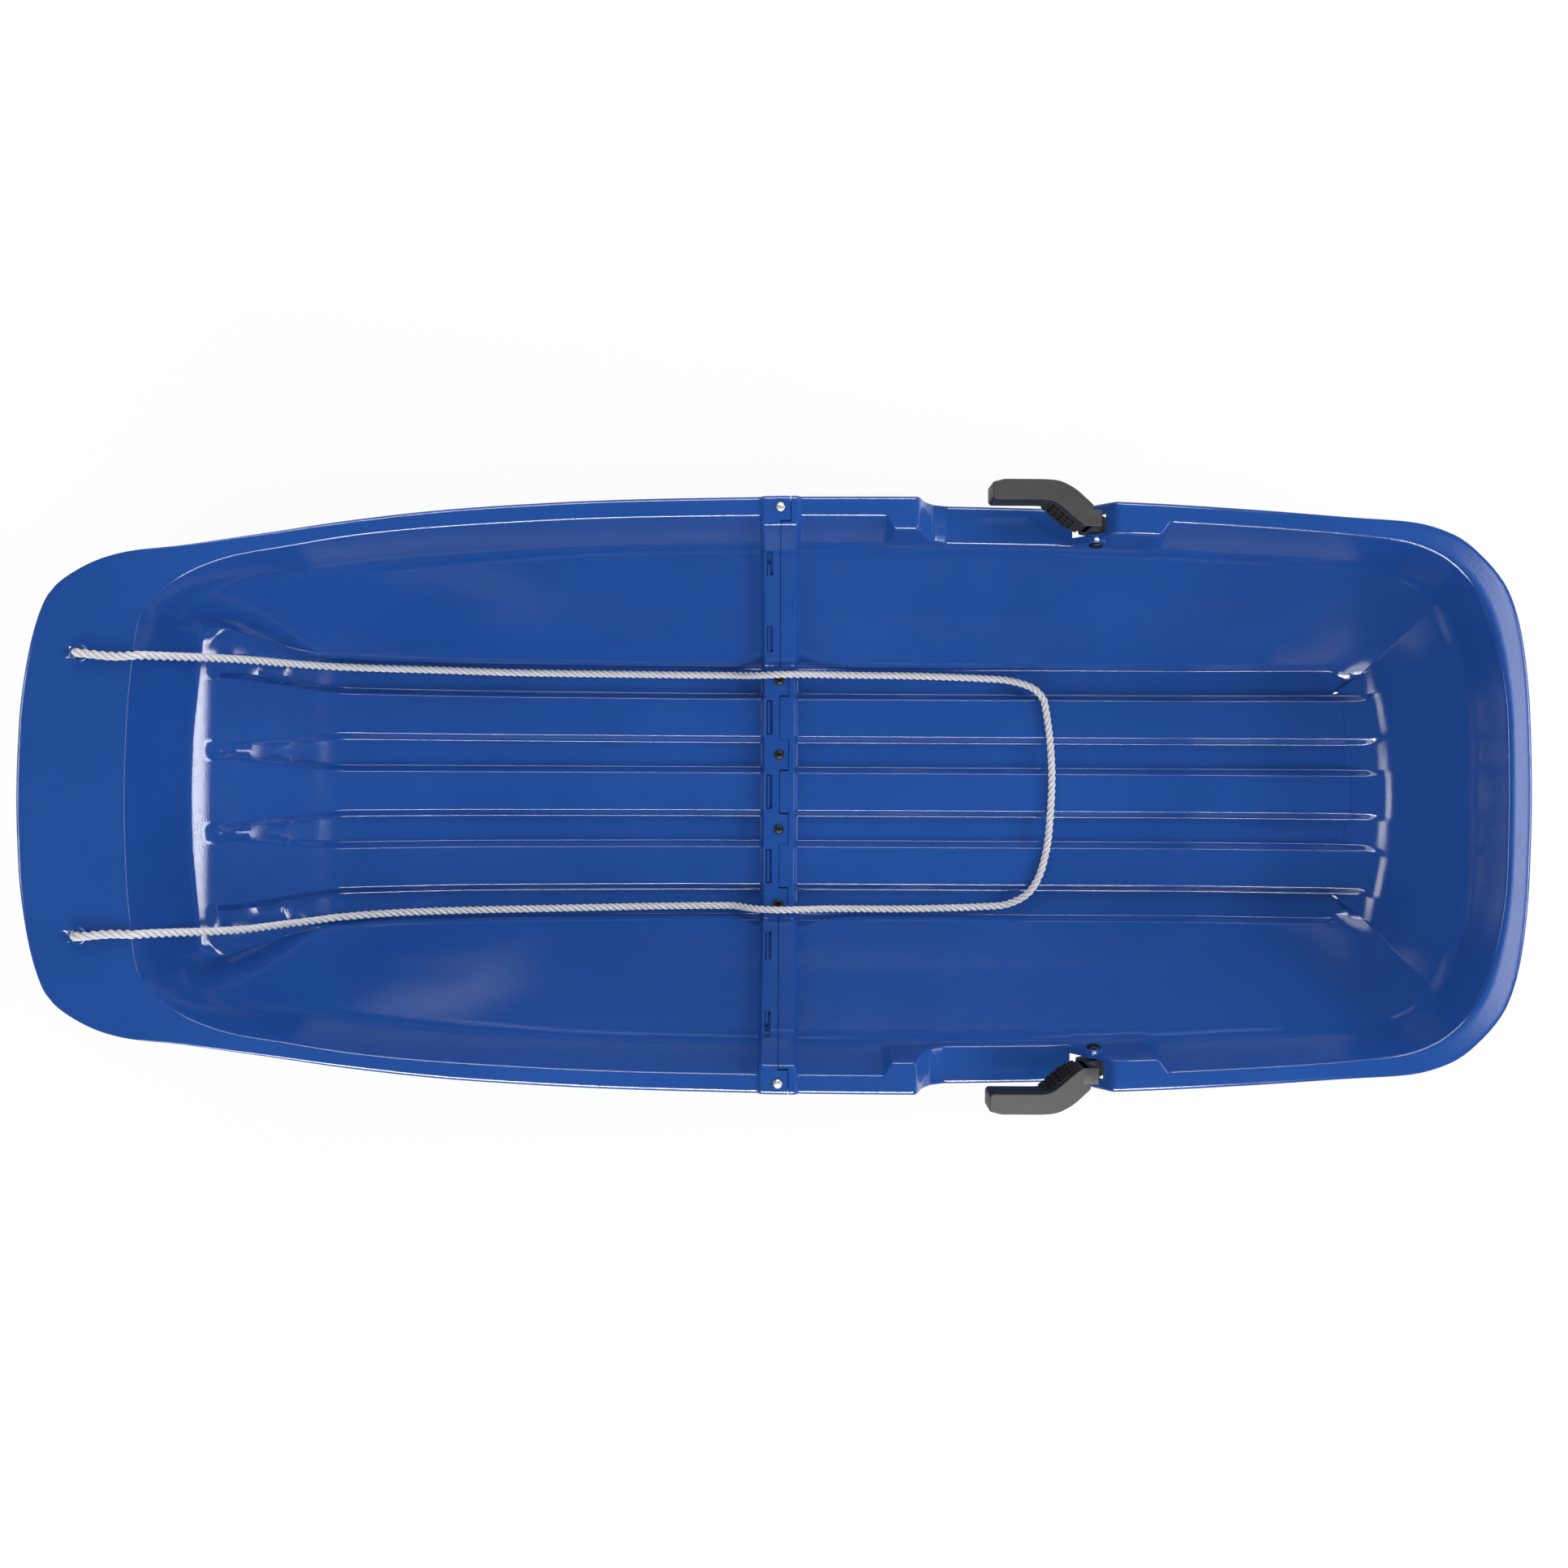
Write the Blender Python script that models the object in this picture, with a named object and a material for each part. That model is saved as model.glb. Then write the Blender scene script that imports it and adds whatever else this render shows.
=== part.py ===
"""Two-part plastic toboggan with a pull rope and two brake levers.

The origin is on the ground under the middle of the sled. -X points to the nose, +X to the tail,
+Y to the right of a rider who faces the nose, and +Z up. Lengths are metres, angles are degrees.
"""

import math

import bmesh
import bpy
from mathutils import Matrix, Vector

# Overall size of the tub
NOSE_REACH = 0.598
TAIL_REACH = 0.647
HALF_WIDTH = 0.259
RIM_HEIGHT = 0.139
NOSE_HEIGHT = 0.232
TAIL_HEIGHT = 0.147
TOE_RISE = 0.130
HEEL_RISE = 0.020
WALL = 0.003
SKIRT_DROP = 0.012
GAP = 0.0003
OVERRUN = 0.010

# Grooves in the floor, which are the runners underneath
GROOVE_COUNT = 4
GROOVE_PITCH = 0.072
GROOVE_MOUTH = 0.035
GROOVE_BOTTOM = 0.025
GROOVE_DEPTH = 0.009

# Cross ridge where the two halves join
RIDGE_RISE = 0.009
RIM_RIDGE_RISE = 0.003
RIDGE_HALF_TOP = 0.0145
RIDGE_SLOPE = 0.003
TONGUE_REACH = 0.0087
TONGUE_WIDTH = 0.029
RIM_TONGUE_WIDTH = 0.022
LAP_REACH = 0.0117
LAP_STEP = 0.0026
SLOT_NEAR = 0.0070
SLOT_LENGTH = 0.0065
LAND_SLOT_WIDTH = 0.033
LOWER_SLOT_WIDTH = 0.031
UPPER_SLOT_WIDTH = 0.018
TAB_CLEARANCE = 0.0012
TAB_LENGTH = 0.0020
TAB_PROUD = 0.0006

# Hand pocket and platform beside each brake lever, placed from the joint
POCKET_START = 0.121
POCKET_END = 0.261
POCKET_DEPTH = 0.035
POCKET_EASE = 0.028
PLATFORM_STEP = 0.0115
PLATFORM_LEAD = 0.031
PLATFORM_TRAIL = 0.048
PLATFORM_TAPER = 0.010
RAMP_LENGTH = 0.029
STRIP_WIDTH = 0.0055

# Brake levers
PIVOT_PAST_POCKET = 0.018
PIVOT_DROP = 0.023
HUB_RADIUS = 0.0095
HUB_WIDTH = 0.014
HUB_INSET = 0.028
LEVER_CLEARANCE = 0.001
GRIP_LENGTH = 0.098
GRIP_WIDTH = 0.016
GRIP_HEIGHT = 0.025
GRIP_LIFT = 0.011
GRIP_OUTSIDE = 0.013
CLAW_REACH = 0.128
CLAW_ANGLE = 35.6

# Fasteners: shank radius, head radius, head height, nut radius over the corners, nut height
FLOOR_SCREW = (0.0020, 0.00455, 0.0026, 0.0040, 0.0032)
RIM_SCREW = (0.0018, 0.0042, 0.0024, 0.0034, 0.0028)
RIM_SCREW_INSET = 0.0108
PIVOT_BOLT = (0.0030, 0.0060, 0.0036, 0.0058, 0.0045)
HOLE_CLEARANCE = 0.0004
THREAD_PROUD = 0.0010
WASHER_RADIUS = 0.0070
WASHER_THICKNESS = 0.0012
BOSS_TOP_RADIUS = 0.0075
BOSS_BASE_RADIUS = 0.0105
BOSS_STAND = 0.0008

# Pull rope
ROPE_DIAMETER = 0.0072
ROPE_HOLE_RADIUS = 0.0041
ROPE_HOLE_INSET = 0.0498
ROPE_HOLE_APART = 0.2212
ROPE_SPACING = 0.036
KNOT_RADIUS = 0.0095
KNOT_HEIGHT = 0.016

# Worked out from the sizes above
SEAM_X = (NOSE_REACH - TAIL_REACH) / 2
FLOOR_TOP = GROOVE_DEPTH + WALL
FOOT_HALF = (GROOVE_COUNT - 1) * GROOVE_PITCH / 2 + GROOVE_MOUTH / 2
LAP_DEPTH = WALL + GAP
PIVOT_X = SEAM_X + POCKET_END + PIVOT_PAST_POCKET
PIVOT_Z = RIM_HEIGHT - PIVOT_DROP
HUB_Y = HALF_WIDTH - HUB_INSET
UPRIGHT_REACH = HUB_RADIUS * 2
ROPE_HOLE_X = SEAM_X - NOSE_REACH + ROPE_HOLE_INSET

# Where the wall bends, between its foot and the inner edge of the rim: sideways and upwards
BEND_SHARES = (0.395, 0.29)
SHOULDER_SHARES = (0.844, 0.646)

# Places round one half of the front tub, from the joint to the middle of the nose:
# foot x, inner rim x and y, outer rim x and y
FRONT_OUTLINE_SHARES = (
    (0, 0.0, 0.0, 0.931, 0.0, 0.998),
    (1, 0.234, 0.234, 0.913, 0.234, 0.977),
    (2, 0.435, 0.435, 0.873, 0.435, 0.934),
    (3, 0.577, 0.577, 0.826, 0.585, 0.878),
    (4, 0.669, 0.669, 0.776, 0.702, 0.815),
    (5, 0.727, 0.736, 0.734, 0.794, 0.764),
    (6, 0.773, 0.786, 0.676, 0.870, 0.730),
    (7, 0.811, 0.819, 0.610, 0.921, 0.681),
    (8, 0.840, 0.840, 0.537, 0.960, 0.604),
    (9, 0.847, 0.850, 0.386, 0.985, 0.428),
    (10, 0.851, 0.856, 0.193, 0.997, 0.214),
    (11, 0.852, 0.858, 0.0, 1.0, 0.0),
)
FRONT_CORNER = 8
FRONT_RIM_SHARES = (
    (0.0, 0.0), (0.235, 0.086), (0.343, 0.167), (0.435, 0.269), (0.518, 0.376), (0.585, 0.473),
    (0.669, 0.624), (0.736, 0.763), (0.794, 0.882), (0.848, 0.975), (0.90, 1.0), (1.0, 1.0),
)
FRONT_FLOOR_SHARES = (
    (0.0, 0.0), (0.13, 0.008), (0.234, 0.046), (0.343, 0.092), (0.443, 0.138), (0.518, 0.192),
    (0.585, 0.277), (0.677, 0.40), (0.719, 0.50), (0.769, 0.66), (0.82, 0.865), (0.852, 1.0),
)
FRONT_GROOVE_END_SHARES = (0.80, 0.841)

# The same for the rear tub, from the joint to the middle of the tail
REAR_OUTLINE_SHARES = (
    (0, 0.0, 0.0, 0.931, 0.0, 0.998),
    (1, 0.173, 0.173, 0.932, 0.173, 1.0),
    (2, 0.433, 0.433, 0.923, 0.433, 0.988),
    (3, 0.618, 0.618, 0.902, 0.618, 0.965),
    (4, 0.742, 0.753, 0.876, 0.757, 0.938),
    (5, 0.804, 0.828, 0.853, 0.842, 0.921),
    (6, 0.847, 0.875, 0.811, 0.896, 0.880),
    (7, 0.872, 0.912, 0.734, 0.937, 0.799),
    (8, 0.881, 0.938, 0.625, 0.969, 0.687),
    (9, 0.887, 0.955, 0.483, 0.986, 0.541),
    (10, 0.893, 0.967, 0.263, 0.997, 0.290),
    (11, 0.896, 0.969, 0.0, 1.0, 0.0),
)
REAR_CORNER = 7
REAR_RIM_SHARES = ((0.0, 0.0), (0.6, 0.0), (0.8, 0.35), (1.0, 1.0))
REAR_FLOOR_SHARES = ((0.0, 0.0), (0.62, 0.0), (0.72, 0.3), (0.824, 0.6), (0.878, 0.9), (0.9, 1.0))
REAR_GROOVE_END_SHARES = (0.83, 0.872)

# How far the platform's inner face leans in, of its fall
PLATFORM_DRAFT_SHARE = 0.16
# Pocket floor after its front lip: along the ease, and of the pocket's depth
POCKET_EASE_SHARES = ((0.21, 0.55), (0.54, 0.86), (1.0, 1.0))

# Lever seen from above, of the grip's length forward of the pivot and its width out from the grip
LEVER_TOP_SHARES = (
    (-0.122, -1.5625), (-0.20, -1.5625), (-0.265, -1.25), (-0.38, -0.56), (-0.46, -0.12), (-0.54, 0.0),
    (-0.98, 0.0), (-1.0, 0.15), (-1.0, 0.82), (-0.90, 1.0), (-0.52, 1.0), (-0.40, 0.85),
    (-0.27, 0.40), (-0.122, -0.44),
)
# Upright of the lever seen from the side, of the hub's radius from the pivot
UPRIGHT_SHARES = (
    (-0.62, -0.80), (-1.30, -0.30), (-1.80, 1.05), (-2.0, 3.79), (-1.26, 3.79), (-0.90, 2.10), (0.40, 0.92),
)
# Claw arm, of its reach along the arm and of the hub's radius across it
CLAW_SHARES = (
    (0.05, 0.90), (0.72, 0.72), (0.88, 0.75), (1.0, -0.30), (0.93, -1.25), (0.86, -0.62), (0.05, -0.90),
)

# Screw head, of its radius and height, and knot, of its radius and height
HEAD_SHARES = ((0, 1.0), (0.55, 1.0), (0.9, 0.72), (1.0, 0.3), (1.0, 0))
KNOT_SHARES = ((0, 0), (0.45, 0), (0.85, 0.18), (1.0, 0.5), (0.85, 0.82), (0.45, 1.0), (0, 1.0))

# Route of the rope from the right-hand hole to the left-hand one, chosen by hand
ROPE_ROUTE = (
    (-0.5727, 0.1106, 0.2290), (-0.5725, 0.1106, 0.2338), (-0.5690, 0.1103, 0.2372),
    (-0.5420, 0.1080, 0.2342), (-0.5284, 0.1088, 0.2332), (-0.5203, 0.1098, 0.2200),
    (-0.4800, 0.1143, 0.1340), (-0.4560, 0.1147, 0.0890), (-0.4340, 0.1150, 0.0660),
    (-0.3700, 0.1150, 0.0418), (-0.2600, 0.1137, 0.0226), (-0.0720, 0.1136, 0.0090),
    (-0.0430, 0.1126, 0.0240), (-0.0251, 0.1130, 0.0286), (0.0300, 0.1142, 0.0126),
    (0.0700, 0.1143, 0.0071), (0.1900, 0.1109, 0.0084), (0.2200, 0.1030, 0.0152),
    (0.2330, 0.0880, 0.0163), (0.2406, 0.0137, 0.0160), (0.2380, -0.0377, 0.0160),
    (0.2310, -0.0740, 0.0163), (0.2170, -0.0985, 0.0155), (0.1900, -0.1108, 0.0080),
    (0.0700, -0.1145, 0.0071), (0.0300, -0.1140, 0.0120), (-0.0239, -0.1132, 0.0286),
    (-0.0430, -0.1131, 0.0240), (-0.0720, -0.1117, 0.0090), (-0.2600, -0.1140, 0.0226),
    (-0.3700, -0.1152, 0.0418), (-0.4320, -0.1172, 0.0664), (-0.4540, -0.1185, 0.0890),
    (-0.4790, -0.1180, 0.1340), (-0.5203, -0.1100, 0.2200), (-0.5284, -0.1088, 0.2332),
    (-0.5420, -0.1084, 0.2342), (-0.5690, -0.1103, 0.2372), (-0.5725, -0.1106, 0.2338),
    (-0.5727, -0.1106, 0.2290),
)

# Colour as sRGB, roughness, metallic
FINISHES = {
    "blue_polyethylene": ((0.165, 0.32, 0.60), 0.28, 0.0),
    "charcoal_plastic": ((0.19, 0.195, 0.20), 0.55, 0.0),
    "blackened_steel": ((0.10, 0.10, 0.10), 0.45, 1.0),
    "bright_steel": ((0.80, 0.80, 0.79), 0.30, 1.0),
    "white_rope": ((0.86, 0.85, 0.86), 0.80, 0.0),
}
ROUND_STEPS = 16
OUTLINE_TOLERANCE = 0.0000001


def linear(channel):
    """The linear value of one sRGB channel."""
    if channel <= 0.04045:
        return channel / 12.92
    return ((channel + 0.055) / 1.055) ** 2.4


def finish(name, node):
    """A node's own material."""
    colour, roughness, metallic = FINISHES[name]
    made = bpy.data.materials.new(f"{name}_{node}")
    made.use_nodes = True
    shader = made.node_tree.nodes["Principled BSDF"]
    shader.inputs["Base Color"].default_value = (*map(linear, colour), 1.0)
    shader.inputs["Roughness"].default_value = roughness
    shader.inputs["Metallic"].default_value = metallic
    return made


def place(name, mesh, surface, location=(0, 0, 0), rotation=(0, 0, 0)):
    """Puts a mesh into the scene as one named object."""
    made = bpy.data.objects.new(name, mesh)
    made.location = location
    made.rotation_euler = rotation
    bpy.context.scene.collection.objects.link(made)
    if surface:
        mesh.materials.append(finish(surface, name))
    return made


def mesh_of(name, shape, smooth_angle=0.0):
    """Ends a bmesh as a mesh whose faces point out."""
    bmesh.ops.recalc_face_normals(shape, faces=shape.faces)
    made = bpy.data.meshes.new(name)
    shape.to_mesh(made)
    shape.free()
    if smooth_angle:
        made.shade_smooth()
        made.set_sharp_from_angle(angle=math.radians(smooth_angle))
    return made


def guide(name, mesh):
    """A helper that cuts or joins, and isn't a piece itself."""
    made = place(name, mesh, None)
    made.hide_render = True
    made.display_type = "WIRE"
    return made


def combine(target, helper, operation, solver="EXACT"):
    """Cuts a helper out of a piece, or joins it on."""
    step = target.modifiers.new(f"{operation.title()} {helper.name}", "BOOLEAN")
    step.operation = operation
    step.object = helper
    step.solver = solver


def add_block(shape, low, high, turn=None):
    """A box between two corners, turned about its middle when a turn is given."""
    low = Vector(low)
    high = Vector(high)
    size = high - low
    matrix = Matrix.Translation((low + high) / 2) @ (turn or Matrix()) @ Matrix.Diagonal((*size, 1))
    bmesh.ops.create_cube(shape, size=1, matrix=matrix)


def add_rod(shape, centre, radius, length, turn=None, end_radius=None):
    """A round rod centred on a point, along Z unless it is turned."""
    matrix = Matrix.Translation(centre) @ (turn or Matrix())
    bmesh.ops.create_cone(
        shape, cap_ends=True, segments=ROUND_STEPS, radius1=radius,
        radius2=radius if end_radius is None else end_radius, depth=length, matrix=matrix,
    )


def add_extrusion(shape, outline, direction):
    """A prism: a closed outline of points pushed along a direction."""
    start = [shape.verts.new(point) for point in outline]
    end = [shape.verts.new(Vector(point) + Vector(direction)) for point in outline]
    shape.faces.new(start)
    shape.faces.new(reversed(end))
    for index in range(len(outline)):
        after = (index + 1) % len(outline)
        shape.faces.new((start[index], start[after], end[after], end[index]))


def slope_at(before, here, after, column):
    """The slope of a smooth curve at a row of its table, level where the curve turns back."""
    if before is here:
        return (after[column] - here[column]) / (after[0] - here[0])
    if after is here:
        return (here[column] - before[column]) / (here[0] - before[0])
    slope = (here[column] - before[column]) / (here[0] - before[0])
    next_slope = (after[column] - here[column]) / (after[0] - here[0])
    if slope * next_slope <= 0:
        return 0.0
    return 2 * slope * next_slope / (slope + next_slope)


def along(table, place_on):
    """The values at a place on the smooth curve through a table's rows, which start with their place."""
    last = len(table) - 1
    row = 0
    while row < last - 1 and place_on > table[row + 1][0]:
        row += 1
    before, start, end, after = (table[min(max(row + step, 0), last)] for step in (-1, 0, 1, 2))
    span = end[0] - start[0]
    t = min(max((place_on - start[0]) / span, 0.0), 1.0)
    values = []
    for column in range(1, len(start)):
        leave = slope_at(before, start, end, column) * span
        arrive = slope_at(start, end, after, column) * span
        value = start[column] * (2 * t**3 - 3 * t**2 + 1) + end[column] * (3 * t**2 - 2 * t**3)
        values.append(value + leave * (t**3 - 2 * t**2 + t) + arrive * (t**3 - t**2))
    return values


def straight(table, place_on):
    """The values at a place on straight lines through a table's rows."""
    if place_on <= table[0][0]:
        return table[0][1:]
    for start, end in zip(table, table[1:]):
        if place_on <= end[0]:
            t = (place_on - start[0]) / (end[0] - start[0])
            return tuple(a + (b - a) * t for a, b in zip(start[1:], end[1:]))
    return table[-1][1:]


class Half:
    """One half of the tub: how far it reaches from the joint, which way, and its tables of shares."""

    def __init__(self, reach, way, end_height, end_rise, outline, corner, rim, floor, groove_end):
        self.reach = reach
        self.way = way
        self.end_height = end_height
        self.end_rise = end_rise
        self.corner = corner
        self.end = outline[-1][0]
        beyond = outline[-2]
        mirrored = (self.end + 1, beyond[1], beyond[2], -beyond[3], beyond[4], -beyond[5])
        self.outline = (*outline, mirrored)
        self.rim_table = rim
        self.floor_table = floor
        self.groove_end = groove_end

    def x(self, share):
        return SEAM_X + self.way * share * self.reach

    def rim(self, share):
        return RIM_HEIGHT + (self.end_height - RIM_HEIGHT) * along(self.rim_table, share)[0]

    def floor(self, share):
        return FLOOR_TOP + self.end_rise * along(self.floor_table, share)[0]

    def groove(self, share):
        """How deep the grooves are here, of their full depth."""
        full, none = self.groove_end
        return min(max((none - share) / (none - full), 0.0), 1.0)

    def place_at(self, distance):
        """The place in the outline whose outer rim is this far from the joint."""
        low = 0.0
        high = float(self.corner)
        while high - low > OUTLINE_TOLERANCE:
            middle = (low + high) / 2
            if along(self.outline, middle)[3] * self.reach < distance:
                low = middle
            else:
                high = middle
        return (low + high) / 2


FRONT = Half(
    NOSE_REACH, -1, NOSE_HEIGHT, TOE_RISE, FRONT_OUTLINE_SHARES, FRONT_CORNER,
    FRONT_RIM_SHARES, FRONT_FLOOR_SHARES, FRONT_GROOVE_END_SHARES,
)
REAR = Half(
    TAIL_REACH, 1, TAIL_HEIGHT, HEEL_RISE, REAR_OUTLINE_SHARES, REAR_CORNER,
    REAR_RIM_SHARES, REAR_FLOOR_SHARES, REAR_GROOVE_END_SHARES,
)


def floor_lines():
    """The long edges of the grooves: y, and whether the edge lies on the groove's bottom."""
    lines = []
    for index in range(GROOVE_COUNT):
        centre = (index - (GROOVE_COUNT - 1) / 2) * GROOVE_PITCH
        lines += [
            (centre - GROOVE_MOUTH / 2, 0), (centre - GROOVE_BOTTOM / 2, 1),
            (centre + GROOVE_BOTTOM / 2, 1), (centre + GROOVE_MOUTH / 2, 0),
        ]
    return lines


def platform_table():
    """The platform beside a lever: distance from the joint, its step in, and the pocket's drop."""
    rows = [(POCKET_START - PLATFORM_LEAD, 0, 0), (POCKET_START - PLATFORM_LEAD + PLATFORM_TAPER, 1, 0)]
    rows.append((POCKET_START, 1, 0))
    rows += [(POCKET_START + POCKET_EASE * run, 1, drop) for run, drop in POCKET_EASE_SHARES]
    rows.append((POCKET_END, 1, 1))
    rows.append((POCKET_END + RAMP_LENGTH, 1, 0))
    rows.append((POCKET_END + RAMP_LENGTH + PLATFORM_TRAIL - PLATFORM_TAPER, 1, 0))
    rows.append((POCKET_END + RAMP_LENGTH + PLATFORM_TRAIL, 0, 0))
    return rows


def between(start, end, shares):
    """A wall point: one share sideways and along, the other one upwards."""
    across, upward = shares
    point = start.lerp(end, across)
    point.z = start.z + (end.z - start.z) * upward
    return point


def wall(half, place_on, foot_y):
    """The wall's points on the +Y side, from its foot to the skirt's lower edge."""
    foot_x, inner_x, inner_y, outer_x, outer_y = along(half.outline, place_on)
    foot = Vector((half.x(foot_x), foot_y, half.floor(foot_x)))
    inner = Vector((half.x(inner_x), inner_y * HALF_WIDTH, half.rim(inner_x)))
    outer = Vector((half.x(outer_x), outer_y * HALF_WIDTH, half.rim(outer_x)))
    bend = between(foot, inner, BEND_SHARES)
    shoulder = between(foot, inner, SHOULDER_SHARES)
    if half is REAR:
        step, drop = straight(platform_table(), outer_x * half.reach)
        inner.y -= PLATFORM_STEP * step + (POCKET_DEPTH * drop) * PLATFORM_DRAFT_SHARE
        inner.z -= POCKET_DEPTH * drop
        outer.z -= POCKET_DEPTH * drop
    skirt = outer - Vector((0, 0, SKIRT_DROP))
    return [foot, bend, shoulder, inner, outer, skirt]


def mirrored(point):
    return Vector((point.x, -point.y, point.z))


def whole_row(side, floor_points):
    """A row of points across the whole tub, from the left skirt to the right one."""
    rise = side[1:]
    return [mirrored(point) for point in reversed(rise)] + floor_points + rise


def tub_row(half, place_on):
    """A row across the tub at a place between the joint and the corner."""
    side = wall(half, place_on, FOOT_HALF)
    foot_x = along(half.outline, place_on)[0]
    depth = GROOVE_DEPTH * half.groove(foot_x)
    points = [Vector((side[0].x, y, side[0].z - depth * low)) for y, low in floor_lines()]
    return whole_row(side, points)


def upward(start, end):
    """The unit vector square to a wall line, pointing into the tub."""
    run = end - start
    return Vector((0, -run.z, run.y)).normalized()


def mitre(first, second, distance):
    """How a corner moves when the two faces that meet there, given by their normals, move a distance."""
    middle = (first + second).normalized()
    return middle * distance / middle.dot(first)


def ridge_row(half, x, lower=0.0):
    """A row across the raised cross ridge, or under it by a depth."""
    side = wall(half, 0.0, FOOT_HALF)
    up = Vector((0, 0, 1))
    out = Vector((0, 1, 0))
    slopes = [upward(start, end) for start, end in zip(side[:3], side[1:4])]
    faces = [up, *slopes]
    for index, (face, after) in enumerate(zip(faces, faces[1:])):
        side[index] += mitre(face, after, RIDGE_RISE)
    side[3] += up * RIM_RIDGE_RISE - out * RIDGE_RISE
    side[4] += up * RIM_RIDGE_RISE
    side[5] += up * (RIM_RIDGE_RISE + lower) - out * lower
    slopes = [upward(start, end) for start, end in zip(side[:3], side[1:4])]
    faces = [up, *slopes, up, out]
    for index, (face, after) in enumerate(zip(faces, faces[1:])):
        side[index] -= mitre(face, after, lower)
    for point in side:
        point.x = x
    points = [Vector((x, y, side[0].z)) for y, low in floor_lines()]
    points[0] = mirrored(side[0])
    points[-1] = side[0]
    return whole_row(side, points)


def end_columns(half):
    """Columns of points up the end wall, one for each floor line between the corners."""
    columns = []
    for y, low in floor_lines()[1:-1]:
        share = y / FOOT_HALF
        place_on = half.end - (half.end - half.corner) * abs(share)
        column = wall(half, place_on, abs(y))
        columns.append([mirrored(point) for point in column] if share < 0 else column)
    return columns


def add_sheet(shape, rows):
    """Quads between rows of points."""
    grid = [[shape.verts.new(point) for point in row] for row in rows]
    for row, after in zip(grid, grid[1:]):
        for index in range(len(row) - 1):
            shape.faces.new((row[index], row[index + 1], after[index + 1], after[index]))


def sheet_mesh(name, rows, columns):
    """The upper surface of a half as one open sheet that faces up."""
    shape = bmesh.new()
    if columns:
        side = len(rows[-1]) - len(floor_lines())
        reach = side // 2
        left = [rows[-1][reach], *reversed(rows[-1][:reach])]
        right = rows[-1][-reach - 1:]
        add_sheet(shape, [left, *columns, right])
        first = reach + 1
        rows[-1][first:-first] = [column[0] for column in columns]
    add_sheet(shape, rows)
    bmesh.ops.remove_doubles(shape, verts=shape.verts, dist=GAP / 10)
    bmesh.ops.recalc_face_normals(shape, faces=shape.faces)
    floor_face = min(shape.faces, key=lambda face: face.calc_center_median().xy.length)
    if floor_face.normal.z < 0:
        bmesh.ops.reverse_faces(shape, faces=shape.faces)
    made = bpy.data.meshes.new(name)
    shape.to_mesh(made)
    shape.free()
    made.shade_smooth()
    made.set_sharp_from_angle(angle=math.radians(30))
    return made


def thicken(target, thickness):
    """Gives a sheet its wall, below and outside the surface."""
    step = target.modifiers.new("Wall", "SOLIDIFY")
    step.thickness = thickness
    step.offset = -1
    step.use_even_offset = True
    step.use_quality_normals = True


def tongue_centres():
    """Where the front shell's floor tongues and their screws are, across the tub."""
    return [(index - (GROOVE_COUNT - 1) / 2) * GROOVE_PITCH for index in range(GROOVE_COUNT)]


def ridge_spots():
    """The slots in the ridge: middle on the ridge's surface, width, and the slope of the wall there."""
    row = ridge_row(FRONT, SEAM_X)
    foot, bend, shoulder = row[-6], row[-5], row[-4]
    spots = []
    for index in range(1 - GROOVE_COUNT // 2, GROOVE_COUNT // 2):
        spots.append((Vector((0, index * GROOVE_PITCH, foot.z)), LAND_SLOT_WIDTH, 0.0))
    for start, end, width in ((foot, bend, LOWER_SLOT_WIDTH), (bend, shoulder, UPPER_SLOT_WIDTH)):
        slope = math.atan2(end.z - start.z, end.y - start.y)
        middle = (start + end) / 2
        spots.append((middle, width, slope))
        spots.append((mirrored(middle), width, -slope))
    return spots


def add_ridge_blocks(shape, x, length, less, above, below):
    """One block at each slot of the ridge, narrower than the slot by a clearance on each side."""
    for middle, width, slope in ridge_spots():
        half_size = Vector((length / 2, width / 2 - less, (above + below) / 2))
        normal = Vector((0, -math.sin(slope), math.cos(slope)))
        centre = Vector((x, middle.y, middle.z)) + normal * (above - below) / 2
        add_block(shape, centre - half_size, centre + half_size, Matrix.Rotation(slope, 4, "X"))


def screw_points():
    """The floor screws and rim screws at the joint: name, x and y, height of the seat, and sizes."""
    ridge_top = FLOOR_TOP + RIDGE_RISE
    rim_top = RIM_HEIGHT + RIM_RIDGE_RISE
    rim_y = HALF_WIDTH - RIM_SCREW_INSET
    found = []
    for index, y in enumerate(tongue_centres()):
        found.append((f"floor_screw_{index + 1}", y, ridge_top, FLOOR_SCREW))
    found.append(("rim_screw_left", -rim_y, rim_top, RIM_SCREW))
    found.append(("rim_screw_right", rim_y, rim_top, RIM_SCREW))
    return found


def add_screw_holes(shape):
    for _, y, seat, sizes in screw_points():
        add_rod(shape, (SEAM_X, y, seat - LAP_DEPTH), sizes[0] + HOLE_CLEARANCE, 2 * (LAP_DEPTH + OVERRUN))


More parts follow.
